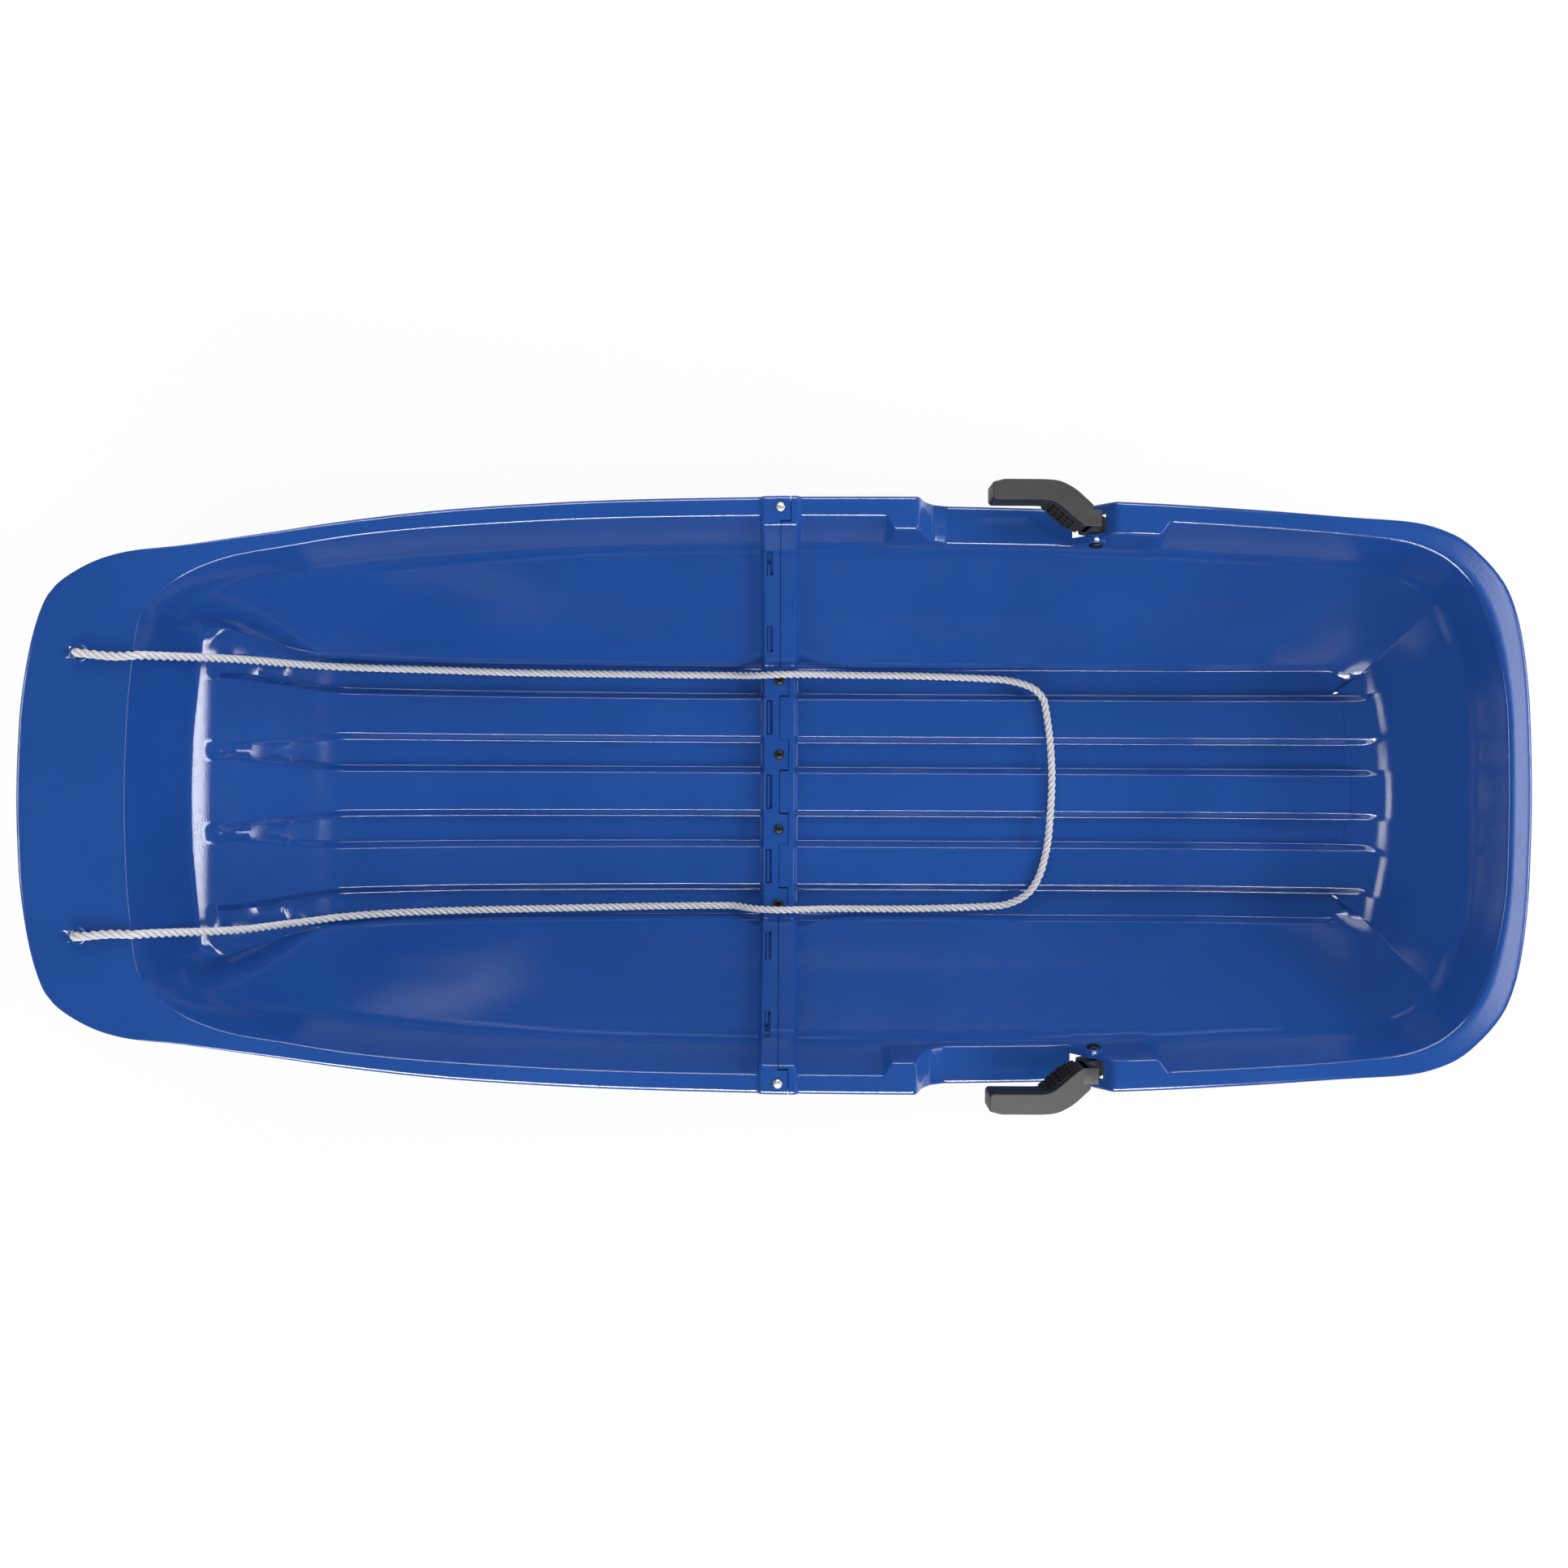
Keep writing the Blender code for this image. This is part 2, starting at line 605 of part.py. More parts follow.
def build_front_shell():
    """The front half of the tub, whose ridge lies over the rear half's lap."""
    tongue_end = SEAM_X + TONGUE_REACH
    rows = [ridge_row(FRONT, tongue_end), ridge_row(FRONT, SEAM_X - RIDGE_HALF_TOP)]
    rows.append(tub_row(FRONT, FRONT.place_at(RIDGE_HALF_TOP + RIDGE_SLOPE)))
    rows += [tub_row(FRONT, step / 2) for step in range(1, 2 * FRONT.corner + 1)]
    shell = place("front_shell", sheet_mesh("front_shell", rows, end_columns(FRONT)), "blue_polyethylene")
    thicken(shell, WALL)

    cuts = bmesh.new()
    edges = [-HALF_WIDTH + RIM_TONGUE_WIDTH]
    for centre in tongue_centres():
        edges += [centre - TONGUE_WIDTH / 2, centre + TONGUE_WIDTH / 2]
    edges.append(HALF_WIDTH - RIM_TONGUE_WIDTH)
    for low, high in zip(edges[::2], edges[1::2]):
        add_block(cuts, (SEAM_X, low, -OVERRUN), (tongue_end + OVERRUN, high, RIM_HEIGHT + OVERRUN))
    combine(shell, guide("seam_cutter", mesh_of("seam_cutter", cuts)), "DIFFERENCE")

    holes = bmesh.new()
    add_ridge_blocks(holes, SEAM_X - SLOT_NEAR - SLOT_LENGTH / 2, SLOT_LENGTH, 0.0, OVERRUN, OVERRUN)
    add_screw_holes(holes)
    for side in (-1, 1):
        centre = (ROPE_HOLE_X, side * ROPE_HOLE_APART / 2, NOSE_HEIGHT)
        add_rod(holes, centre, ROPE_HOLE_RADIUS, 2 * OVERRUN)
    combine(shell, guide("front_holes", mesh_of("front_holes", holes)), "DIFFERENCE")


def boss_face():
    """How far out from the middle the pivot boss's inner face is, clear of the wall beside it."""
    side = wall(REAR, REAR.place_at(PIVOT_X - SEAM_X), FOOT_HALF)
    shoulder, inner = side[2], side[3]
    share = (PIVOT_Z - PIVOT_BOLT[1] - shoulder.z) / (inner.z - shoulder.z)
    return shoulder.lerp(inner, min(max(share, 0), 1)).y - BOSS_STAND


def build_rear_shell():
    """The rear half of the tub, with the lap, its hook tabs, the pockets, slots and pivot bosses."""
    step_end = SEAM_X + TONGUE_REACH + GAP + LAP_STEP
    rows = [
        ridge_row(REAR, SEAM_X - LAP_REACH, LAP_DEPTH),
        ridge_row(REAR, SEAM_X + TONGUE_REACH + GAP, LAP_DEPTH),
        ridge_row(REAR, step_end),
        ridge_row(REAR, SEAM_X + RIDGE_HALF_TOP),
        tub_row(REAR, REAR.place_at(RIDGE_HALF_TOP + RIDGE_SLOPE)),
        tub_row(REAR, REAR.place_at((RIDGE_HALF_TOP + POCKET_START - PLATFORM_LEAD) / 2)),
    ]
    rows += [tub_row(REAR, REAR.place_at(row[0])) for row in platform_table()]
    platform_end = POCKET_END + RAMP_LENGTH + PLATFORM_TRAIL
    for step in range(2, 2 * REAR.corner + 1):
        if along(REAR.outline, step / 2)[3] * REAR.reach > platform_end + PLATFORM_LEAD:
            rows.append(tub_row(REAR, step / 2))
    shell = place("rear_shell", sheet_mesh("rear_shell", rows, end_columns(REAR)), "blue_polyethylene")
    thicken(shell, WALL)

    pads = guide("seam_pads", sheet_mesh(
        "seam_pads", [ridge_row(REAR, SEAM_X + GAP), ridge_row(REAR, step_end - LAP_STEP / 2)], [],
    ))
    thicken(pads, WALL + (LAP_STEP + GAP) / 4)
    recesses = bmesh.new()
    pad_end = SEAM_X + TONGUE_REACH + GAP
    for centre in tongue_centres():
        reach = TONGUE_WIDTH / 2 + GAP
        add_block(recesses, (SEAM_X - OVERRUN, centre - reach, 0), (pad_end, centre + reach, RIM_HEIGHT))
    for side in (-1, 1):
        inside = side * (HALF_WIDTH - RIM_TONGUE_WIDTH - GAP)
        outside = side * (HALF_WIDTH + OVERRUN)
        low, high = min(inside, outside), max(inside, outside)
        add_block(recesses, (SEAM_X - OVERRUN, low, 0), (pad_end, high, RIM_HEIGHT + OVERRUN))
    combine(pads, guide("tongue_recesses", mesh_of("tongue_recesses", recesses)), "DIFFERENCE")
    combine(shell, pads, "UNION")

    tabs = bmesh.new()
    slot_middle = SEAM_X - SLOT_NEAR - SLOT_LENGTH / 2
    add_ridge_blocks(tabs, slot_middle, TAB_LENGTH, TAB_CLEARANCE, TAB_PROUD, LAP_DEPTH + WALL / 2)
    combine(shell, guide("hook_tabs", mesh_of("hook_tabs", tabs)), "UNION", "MANIFOLD")

    bosses = bmesh.new()
    cuts = bmesh.new()
    holes = bmesh.new()
    across = Matrix.Rotation(math.radians(-90), 4, "X")
    back = Matrix.Rotation(math.radians(90), 4, "X")
    seat = HUB_Y - LEVER_CLEARANCE - GAP
    boss_height = seat - boss_face()
    slot_front = PIVOT_X - UPRIGHT_REACH - LEVER_CLEARANCE
    slot_rear = PIVOT_X + HUB_RADIUS + LEVER_CLEARANCE
    for side, turn in ((1, across), (-1, back)):
        middle = Vector((PIVOT_X, side * (seat - boss_height / 2), PIVOT_Z))
        add_rod(bosses, middle, BOSS_TOP_RADIUS, boss_height, turn, BOSS_BASE_RADIUS)
        inner = side * seat
        outer = side * (HALF_WIDTH - STRIP_WIDTH)
        low, high = min(inner, outer), max(inner, outer)
        add_block(cuts, (slot_front, low, PIVOT_Z - POCKET_DEPTH), (slot_rear, high, RIM_HEIGHT + OVERRUN))
        add_rod(holes, middle, PIVOT_BOLT[0] + HOLE_CLEARANCE, boss_height + OVERRUN, turn)
    add_screw_holes(holes)
    combine(shell, guide("pivot_bosses", mesh_of("pivot_bosses", bosses)), "UNION", "MANIFOLD")
    combine(shell, guide("rear_cuts", mesh_of("rear_cuts", cuts)), "DIFFERENCE", "MANIFOLD")
    combine(shell, guide("rear_holes", mesh_of("rear_holes", holes)), "DIFFERENCE", "MANIFOLD")


def turned_rings(profile, steps):
    """Rings of points round Z for a profile of radius and height, from the axis back to the axis."""
    rings = []
    for radius, height in profile:
        if radius == 0:
            rings.append([Vector((0, 0, height))])
            continue
        turns = [2 * math.pi * index / steps for index in range(steps)]
        rings.append([Vector((radius * math.cos(t), radius * math.sin(t), height)) for t in turns])
    return rings


def turned_mesh(name, profile, steps=ROUND_STEPS):
    """A solid of revolution whose profile starts and ends on the axis."""
    shape = bmesh.new()
    rings = [[shape.verts.new(point) for point in ring] for ring in turned_rings(profile, steps)]
    for ring, after in zip(rings, rings[1:]):
        for index in range(steps):
            corner = (index + 1) % steps
            if len(ring) == 1:
                shape.faces.new((ring[0], after[index], after[corner]))
            elif len(after) == 1:
                shape.faces.new((ring[index], ring[corner], after[0]))
            else:
                shape.faces.new((ring[index], ring[corner], after[corner], after[index]))
    return mesh_of(name, shape, 30)


def ring_mesh(name, bore, corner_radius, height, flats):
    """A nut or washer from z = -height to 0: its outside has flats, or is round where flats is 0."""
    shape = bmesh.new()
    steps = 2 * flats if flats else ROUND_STEPS
    loops = []
    for level in (0.0, -height):
        for outer in (True, False):
            loop = []
            for index in range(steps):
                turn = 2 * math.pi * index / steps
                radius = bore
                if outer:
                    radius = corner_radius * (math.cos(math.pi / flats) if flats and index % 2 else 1)
                loop.append(shape.verts.new((radius * math.cos(turn), radius * math.sin(turn), level)))
            loops.append(loop)
    top_outer, top_bore, low_outer, low_bore = loops
    round_trip = (top_outer, top_bore, low_bore, low_outer, top_outer)
    for first, second in zip(round_trip, round_trip[1:]):
        for index in range(steps):
            after = (index + 1) % steps
            shape.faces.new((first[index], first[after], second[after], second[index]))
    return mesh_of(name, shape)


def screw_profile(sizes, grip):
    """Head above z = 0 and shank below it, long enough to pass its grip and nut."""
    shank, head, height, _, nut_height = sizes
    end = -(grip + nut_height + THREAD_PROUD)
    crown = [(head * out, height * up) for out, up in HEAD_SHARES]
    return [*crown, (shank, 0), (shank, end), (0, end)]


def build_joint_screws():
    """The screws that clamp the ridge, each with its nut under the lap."""
    grip = 2 * LAP_DEPTH + GAP
    for name, y, seat, sizes in screw_points():
        shank, _, _, corner_radius, nut_height = sizes
        bright = name.startswith("rim")
        surface = "bright_steel" if bright else "blackened_steel"
        place(name, turned_mesh(name, screw_profile(sizes, grip)), surface, (SEAM_X, y, seat + GAP))
        nut = name.replace("screw", "nut")
        mesh = ring_mesh(nut, shank + GAP, corner_radius, nut_height, 6)
        place(nut, mesh, "bright_steel", (SEAM_X, y, seat - grip))


def side_outline():
    """The lever's hub, upright and claw arm seen from the side, as x and z from the pivot."""
    angle = math.radians(CLAW_ANGLE)
    arm = Vector((math.cos(angle), -math.sin(angle)))
    across = Vector((math.sin(angle), math.cos(angle)))
    upright = [Vector((x, z)) * HUB_RADIUS for x, z in UPRIGHT_SHARES]
    claw = [arm * (run * CLAW_REACH) + across * (side * HUB_RADIUS) for run, side in CLAW_SHARES]
    return upright + claw


def lever_mesh(name, side):
    """A brake lever about its pivot, for the right (1) or left (-1) side."""
    inside = HALF_WIDTH + GRIP_OUTSIDE - GRIP_WIDTH - HUB_Y
    top = [
        (x * GRIP_LENGTH, side * (inside + y * GRIP_WIDTH), GRIP_LIFT)
        for x, y in LEVER_TOP_SHARES
    ]
    shape = bmesh.new()
    add_extrusion(shape, top, (0, 0, GRIP_HEIGHT))
    bar = mesh_of(f"{name}_bar", shape)
    shape = bmesh.new()
    plate = [(point.x, 0, point.y) for point in side_outline()]
    add_extrusion(shape, plate, (0, side * HUB_WIDTH, 0))
    return bar, mesh_of(name, shape)


def build_lever(hand, side):
    """One brake lever with its bolt, washer and nut."""
    name = f"brake_lever_{hand}"
    pivot = Vector((PIVOT_X, side * HUB_Y, PIVOT_Z))
    bar_mesh, plate_mesh = lever_mesh(name, side)
    lever = place(name, plate_mesh, "charcoal_plastic", pivot)
    bar = guide(f"{name}_bar", bar_mesh)
    bar.location = pivot
    combine(lever, bar, "UNION")
    turn = math.radians(-90 * side)
    bore = bmesh.new()
    shank, _, head_height, corner_radius, nut_height = PIVOT_BOLT
    add_rod(bore, (0, 0, 0), shank + GAP, 4 * HUB_WIDTH, Matrix.Rotation(turn, 4, "X"))
    cutter = guide(f"{name}_bore", mesh_of(f"{name}_bore", bore))
    cutter.location = pivot
    combine(lever, cutter, "DIFFERENCE")

    seat = boss_face() - GAP
    grip = HUB_Y + HUB_WIDTH + GAP + WASHER_THICKNESS + GAP - seat
    bolt = turned_mesh(f"pivot_bolt_{hand}", screw_profile(PIVOT_BOLT, grip))
    out = (math.radians(90 * side), 0, 0)
    place(f"pivot_bolt_{hand}", bolt, "blackened_steel", (PIVOT_X, side * seat, PIVOT_Z), out)
    washer_y = HUB_Y + HUB_WIDTH + GAP
    washer = ring_mesh(f"pivot_washer_{hand}", shank + GAP, WASHER_RADIUS, WASHER_THICKNESS, 0)
    place(f"pivot_washer_{hand}", washer, "bright_steel", (PIVOT_X, side * washer_y, PIVOT_Z), out)
    nut_y = washer_y + WASHER_THICKNESS + GAP
    nut = ring_mesh(f"pivot_nut_{hand}", shank + GAP, corner_radius, nut_height, 6)
    place(f"pivot_nut_{hand}", nut, "bright_steel", (PIVOT_X, side * nut_y, PIVOT_Z), out)


def rope_points():
    """Points along the smooth curve through the rope's route."""
    distance = 0.0
    table = [(distance, *ROPE_ROUTE[0])]
    for start, end in zip(ROPE_ROUTE, ROPE_ROUTE[1:]):
        distance += math.dist(start, end)
        table.append((distance, *end))
    points = []
    for start, end in zip(table, table[1:]):
        steps = math.ceil((end[0] - start[0]) / ROPE_SPACING)
        points += [along(table, start[0] + (end[0] - start[0]) * step / steps) for step in range(steps)]
    points.append(list(table[-1][1:]))
    return points


def deck_height(x):
    """The top of the nose deck, which rises a little from its inner edge to the nose."""
    share = (SEAM_X - x) / NOSE_REACH
    _, inner, _, outer, _ = along(FRONT.outline, FRONT.end)
    part_way = (share - inner) / (outer - inner)
    return FRONT.rim(inner) + (FRONT.rim(outer) - FRONT.rim(inner)) * part_way


def build_rope():
    """The pull rope as a plain tube, and the stopper knots under the deck."""
    curve = bpy.data.curves.new("pull_rope", "CURVE")
    curve.dimensions = "3D"
    curve.bevel_depth = ROPE_DIAMETER / 2
    curve.bevel_resolution = 2
    curve.use_fill_caps = True
    points = rope_points()
    line = curve.splines.new("POLY")
    line.points.add(len(points) - 1)
    for spot, point in zip(line.points, points):
        spot.co = (*point, 1)
    place("pull_rope", curve, "white_rope")
    top = deck_height(ROPE_HOLE_X + KNOT_RADIUS) - WALL - GAP
    profile = [(KNOT_RADIUS * out, -KNOT_HEIGHT * down) for out, down in KNOT_SHARES]
    for hand, side in (("right", 1), ("left", -1)):
        name = f"rope_knot_{hand}"
        place(name, turned_mesh(name, profile), "white_rope", (ROPE_HOLE_X, side * ROPE_HOLE_APART / 2, top))


for leftover in list(bpy.data.objects):
    bpy.data.objects.remove(leftover)
build_front_shell()
build_rear_shell()
build_joint_screws()
build_lever("right", 1)
build_lever("left", -1)
build_rope()
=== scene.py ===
"""Looks of the two-part plastic toboggan: smooth shells, levers, screws, rope, light and camera."""

import math

import bmesh
import bpy
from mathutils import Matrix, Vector
import numpy as np


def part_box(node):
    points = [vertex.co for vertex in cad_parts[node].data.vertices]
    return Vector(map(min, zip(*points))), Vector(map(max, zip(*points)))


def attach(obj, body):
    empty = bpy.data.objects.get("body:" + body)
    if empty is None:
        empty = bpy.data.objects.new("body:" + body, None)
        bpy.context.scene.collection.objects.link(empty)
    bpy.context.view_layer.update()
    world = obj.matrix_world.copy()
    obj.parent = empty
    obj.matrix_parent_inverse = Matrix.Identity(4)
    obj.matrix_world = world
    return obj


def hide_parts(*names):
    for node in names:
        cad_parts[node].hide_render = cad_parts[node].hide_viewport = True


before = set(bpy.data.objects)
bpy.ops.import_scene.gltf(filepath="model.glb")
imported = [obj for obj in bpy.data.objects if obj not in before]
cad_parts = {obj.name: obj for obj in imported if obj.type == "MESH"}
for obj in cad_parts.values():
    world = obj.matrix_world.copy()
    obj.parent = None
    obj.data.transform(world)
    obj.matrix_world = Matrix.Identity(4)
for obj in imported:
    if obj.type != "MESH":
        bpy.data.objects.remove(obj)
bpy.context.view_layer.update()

# Sizes of the tub, in metres, as the solids have them
NOSE_REACH = 0.598
TAIL_REACH = 0.647
HALF_WIDTH = 0.259
RIM_HEIGHT = 0.139
NOSE_HEIGHT = 0.232
TAIL_HEIGHT = 0.147
TOE_RISE = 0.130
HEEL_RISE = 0.020
WALL = 0.003
SKIRT_DROP = 0.012
GAP = 0.0006
GROOVE_PITCH = 0.072
GROOVE_MOUTH = 0.035
GROOVE_SIDE = 0.005
GROOVE_DEPTH = 0.009
# Rounding of the grooves' edges, as a share of their sides
GROOVE_EDGE = 0.16
RIDGE_RISE = 0.009
RIM_RIDGE_RISE = 0.003
RIDGE_HALF_TOP = 0.0145
RIDGE_SLOPE = 0.003
TONGUE_REACH = 0.0087
TONGUE_HALF = 0.0145
RIM_TONGUE_WIDTH = 0.022
LAP_REACH = 0.0121
LAP_DEPTH = WALL + GAP
SLOT_NEAR = 0.0066
SLOT_FAR = 0.0121
TAB_NEAR = 0.0088
TAB_FAR = 0.0108
POCKET_START = 0.121
POCKET_END = 0.261
POCKET_DEPTH = 0.035
# Front slope of a hand pocket: distance from its start, share of its depth
POCKET_SLOPE = ((-0.001, 0.0), (0.006, 0.55), (0.015, 0.86), (0.028, 1.0))
PLATFORM_STEP = 0.0115
PLATFORM_RISE = (0.090, 0.100)
PLATFORM_FALL = (0.328, 0.338)
PLATFORM_DRAFT = 0.16
RAMP_END = 0.290
# Lever slots: from and to as distances from the joint, then as distances from the middle of the tub
LEVER_SLOT = (0.2608, 0.2838)
LEVER_SLOT_Y = (0.2302, 0.2463)
LAND_SLOT_HALF = 0.0165
# Middle and half length of the wall's slots, as shares of the stretches they are in
LOWER_SLOT = (0.54, 0.27)
UPPER_SLOT = (0.7525, 0.0875)
TAB_CLEARANCE = 0.0012
TAB_SHARE = -0.18
TOE_FLARE = 0.020
FLARE_FROM = 0.100
PIVOT = (0.2545, 0.231, 0.116)
# Keeps the smooth outline inside the faceted one of the CAD model
OUTLINE_TRIM = 0.0009
SEAM_X = (NOSE_REACH - TAIL_REACH) / 2
FLOOR_TOP = GROOVE_DEPTH + WALL
FOOT_HALF = 1.5 * GROOVE_PITCH + GROOVE_MOUTH / 2
FLOOR_FILLET = 0.0022
NOSE_FILLET = 0.005
TAIL_FILLET = 0.028
# Bend and shoulder of the wall's section, as shares of the way across and up from the foot to the rim
BEND_SHARES = (0.395, 0.29)
SHOULDER_SHARES = (0.844, 0.646)
# Rounding of the section's corners: the length trimmed on both sides, and the steps of the arcs
BEND_TRIM = 0.010
OUTER_EDGE_TRIM = 0.0036
ARC_STEPS = (8, 5, 5, 5, 6)
# An arc takes less than half of the line on each side of its corner
MOST_OF_LINE = 0.48
# Points keep this clear of the floor's border and of the corner's place, where there are points already
BORDER_CLEAR = 0.0003
CORNER_CLEAR = 0.004
# The rim is set in for the levers only where it is further than this from the middle of the tub
SIDES_FROM = 0.15
# A distance from the joint that is past every cut
FAR = 9.0
# The outline tables number their places from 0 at the joint to this one at the middle of the end
END_PLACE = 11
# Places between which the front half's floor widens
FLARE_PLACES = (4.2, 7.6)
# Distances between which the rear half's rim has its lines along the lever slot, and a sharper inner edge
SLOT_LINES = ((0.235, 0.256), (0.293, 0.313))
SHARP_EDGE = ((0.245, 0.257), (0.293, 0.305))
# Rounding of the rim's inner edge, and how much less it is round the nose and by the lever slots
FRONT_EDGE_TRIM = 0.0030
REAR_EDGE_TRIM = 0.0032
EDGE_TRIM_LESS = 0.0018
# The rim counts as at least this wide where its lines are placed
LEAST_RIM = 0.010
# The ridge's slope is rounded, so it starts this much before the solid's and ends this much past it
RIDGE_EASE = (0.0004, 0.0008)
# The front half's grooves: where they start to narrow and end, and how much narrower and shallower they get
GROOVE_FULL = 0.400
GROOVE_TIP = 0.499
TIP_RUN = 0.009
TIP_NARROWING = 0.0105
TIP_SHALLOWING = 0.3
TIP_STEEPER = 0.0012
# The rear half's grooves run out between these shares of its length
GROOVE_RUN_OUT = (0.862, 0.902)

# Rows: place, foot x, inner rim x and y, outer rim x and y, as shares of the reach and half width
FRONT_OUTLINE = (
    (0, 0.0, 0.0, 0.931, 0.0, 0.998),
    (1, 0.234, 0.234, 0.913, 0.234, 0.977),
    (2, 0.435, 0.435, 0.873, 0.435, 0.934),
    (3, 0.577, 0.577, 0.826, 0.585, 0.878),
    (4, 0.669, 0.669, 0.776, 0.702, 0.815),
    (5, 0.727, 0.736, 0.734, 0.794, 0.764),
    (6, 0.773, 0.786, 0.676, 0.870, 0.730),
    (7, 0.811, 0.819, 0.610, 0.921, 0.681),
    (8, 0.840, 0.840, 0.537, 0.960, 0.604),
    (9, 0.847, 0.850, 0.386, 0.985, 0.428),
    (10, 0.851, 0.856, 0.193, 0.997, 0.214),
    (11, 0.852, 0.858, 0.0, 1.0, 0.0),
)
# Rows: share of the reach, share of the rise
FRONT_RIM = (
    (0.0, 0.0), (0.235, 0.086), (0.343, 0.167), (0.435, 0.269), (0.518, 0.376), (0.585, 0.473),
    (0.669, 0.624), (0.736, 0.763), (0.794, 0.882), (0.848, 0.975), (0.90, 1.0), (1.0, 1.0),
)
FRONT_FLOOR = (
    (0.0, 0.0), (0.13, 0.008), (0.234, 0.046), (0.343, 0.092), (0.443, 0.138), (0.518, 0.192),
    (0.585, 0.277), (0.677, 0.41), (0.719, 0.535), (0.769, 0.695), (0.82, 0.870), (0.832, 0.914),
    (0.852, 1.0),
)
REAR_OUTLINE = (
    (0, 0.0, 0.0, 0.931, 0.0, 0.998),
    (1, 0.173, 0.173, 0.932, 0.173, 1.0),
    (2, 0.433, 0.433, 0.923, 0.433, 0.988),
    (3, 0.618, 0.618, 0.902, 0.618, 0.965),
    (4, 0.742, 0.753, 0.876, 0.757, 0.938),
    (5, 0.804, 0.828, 0.853, 0.842, 0.921),
    (6, 0.847, 0.875, 0.811, 0.896, 0.880),
    (7, 0.872, 0.912, 0.734, 0.937, 0.799),
    (8, 0.881, 0.938, 0.625, 0.969, 0.687),
    (9, 0.887, 0.955, 0.483, 0.986, 0.541),
    (10, 0.893, 0.967, 0.263, 0.997, 0.290),
    (11, 0.896, 0.969, 0.0, 1.0, 0.0),
)
REAR_RIM = ((0.0, 0.0), (0.6, 0.0), (0.8, 0.35), (1.0, 1.0))
REAR_FLOOR = ((0.0, 0.0), (0.62, 0.0), (0.72, 0.3), (0.824, 0.6), (0.878, 0.9), (0.9, 1.0))

# The rope's route, in metres, as the solids have it
ROPE_DIAMETER = 0.0072
ROPE_ROUTE = (
    (-0.5727, 0.1106, 0.2290), (-0.5725, 0.1106, 0.2338), (-0.5690, 0.1103, 0.2372),
    (-0.5420, 0.1080, 0.2342), (-0.5284, 0.1088, 0.2332), (-0.5203, 0.1098, 0.2200),
    (-0.4800, 0.1143, 0.1340), (-0.4560, 0.1147, 0.0890), (-0.4340, 0.1150, 0.0660),
    (-0.3700, 0.1150, 0.0418), (-0.2600, 0.1137, 0.0226), (-0.0720, 0.1136, 0.0090),
    (-0.0430, 0.1126, 0.0240), (-0.0251, 0.1130, 0.0286), (0.0300, 0.1142, 0.0126),
    (0.0700, 0.1143, 0.0071), (0.1900, 0.1109, 0.0084), (0.2200, 0.1030, 0.0152),
    (0.2330, 0.0880, 0.0163), (0.2406, 0.0137, 0.0160), (0.2380, -0.0377, 0.0160),
    (0.2310, -0.0740, 0.0163), (0.2170, -0.0985, 0.0155), (0.1900, -0.1108, 0.0080),
    (0.0700, -0.1145, 0.0071), (0.0300, -0.1140, 0.0120), (-0.0239, -0.1132, 0.0286),
    (-0.0430, -0.1131, 0.0240), (-0.0720, -0.1117, 0.0090), (-0.2600, -0.1140, 0.0226),
    (-0.3700, -0.1152, 0.0418), (-0.4320, -0.1172, 0.0664), (-0.4540, -0.1185, 0.0890),
    (-0.4790, -0.1180, 0.1340), (-0.5203, -0.1100, 0.2200), (-0.5284, -0.1088, 0.2332),
    (-0.5420, -0.1084, 0.2342), (-0.5690, -0.1103, 0.2372), (-0.5725, -0.1106, 0.2338),
    (-0.5727, -0.1106, 0.2290),
)
ROPE_HOLE = (-0.5727, 0.1106)
ROPE_BORE = 0.0043
ROPE_LAY = 0.019
ROPE_STEP = 0.0013
# Shares of the rope's thickness: a strand's radius, and the least radius of the rope's outline
STRAND_SHARE = 0.24
CORE_SHARE = 0.27
# Where the painted shade in the valley between two strands starts, from a strand's middle
VALLEY_SHADE_FROM = 0.62
# The fibre's pattern: units of its UV round a strand, metres of rope in a unit along, and the threads' slant
THREAD_UNITS = 9
THREAD_RUN = 0.0016
THREAD_SLANT = 0.3
# Heights between which the bar for a rope hole goes through the deck
HOLE_CUT = (0.21, 0.25)
# Knot: its rope's thickness and lay, its mean radius and how far that swings, its half height and its place
KNOT_ROPE = 0.0058
KNOT_LAY = 0.016
KNOT_RADIUS = 0.0043
KNOT_SWING = 0.0019
KNOT_RISE = 0.0042
KNOT_HEIGHT = 0.2195


# Curves and meshes

def smooth_table(rows, spots):
    """Cubic curve through a table's rows, at many spots.

    The slope at a row is the harmonic mean of the chords before and after it.
    """
    rows = np.array(rows, float)
    steps = np.diff(rows[:, 0])[:, None]
    chords = np.diff(rows[:, 1:], axis=0) / steps
    turn = chords[:-1] * chords[1:]
    total = chords[:-1] + chords[1:]
    inner = np.where(turn > 0, 2 * turn / np.where(turn > 0, total, 1), 0)
    slopes = np.vstack([chords[:1], inner, chords[-1:]])
    at = np.clip(np.searchsorted(rows[:, 0], spots, side="left") - 1, 0, len(rows) - 2)
    t = np.clip((spots - rows[at, 0]) / steps[at, 0], 0, 1)[:, None]
    start, end = rows[at, 1:], rows[at + 1, 1:]
    leave, arrive = slopes[at] * steps[at], slopes[at + 1] * steps[at]
    rise = 3 * t**2 - 2 * t**3
    return start + (end - start) * rise + leave * (t**3 - 2 * t**2 + t) + arrive * (t**3 - t**2)


def ramp(values, low, high):
    """0 below low, 1 above high, and 3t squared less 2t cubed between them."""
    t = np.clip((values - low) / (high - low), 0, 1)
    return t * t * (3 - 2 * t)


def hump(values, rise, fall):
    """0, up to 1 over the rise, and back to 0 over the fall."""
    return ramp(values, *rise) - ramp(values, *fall)


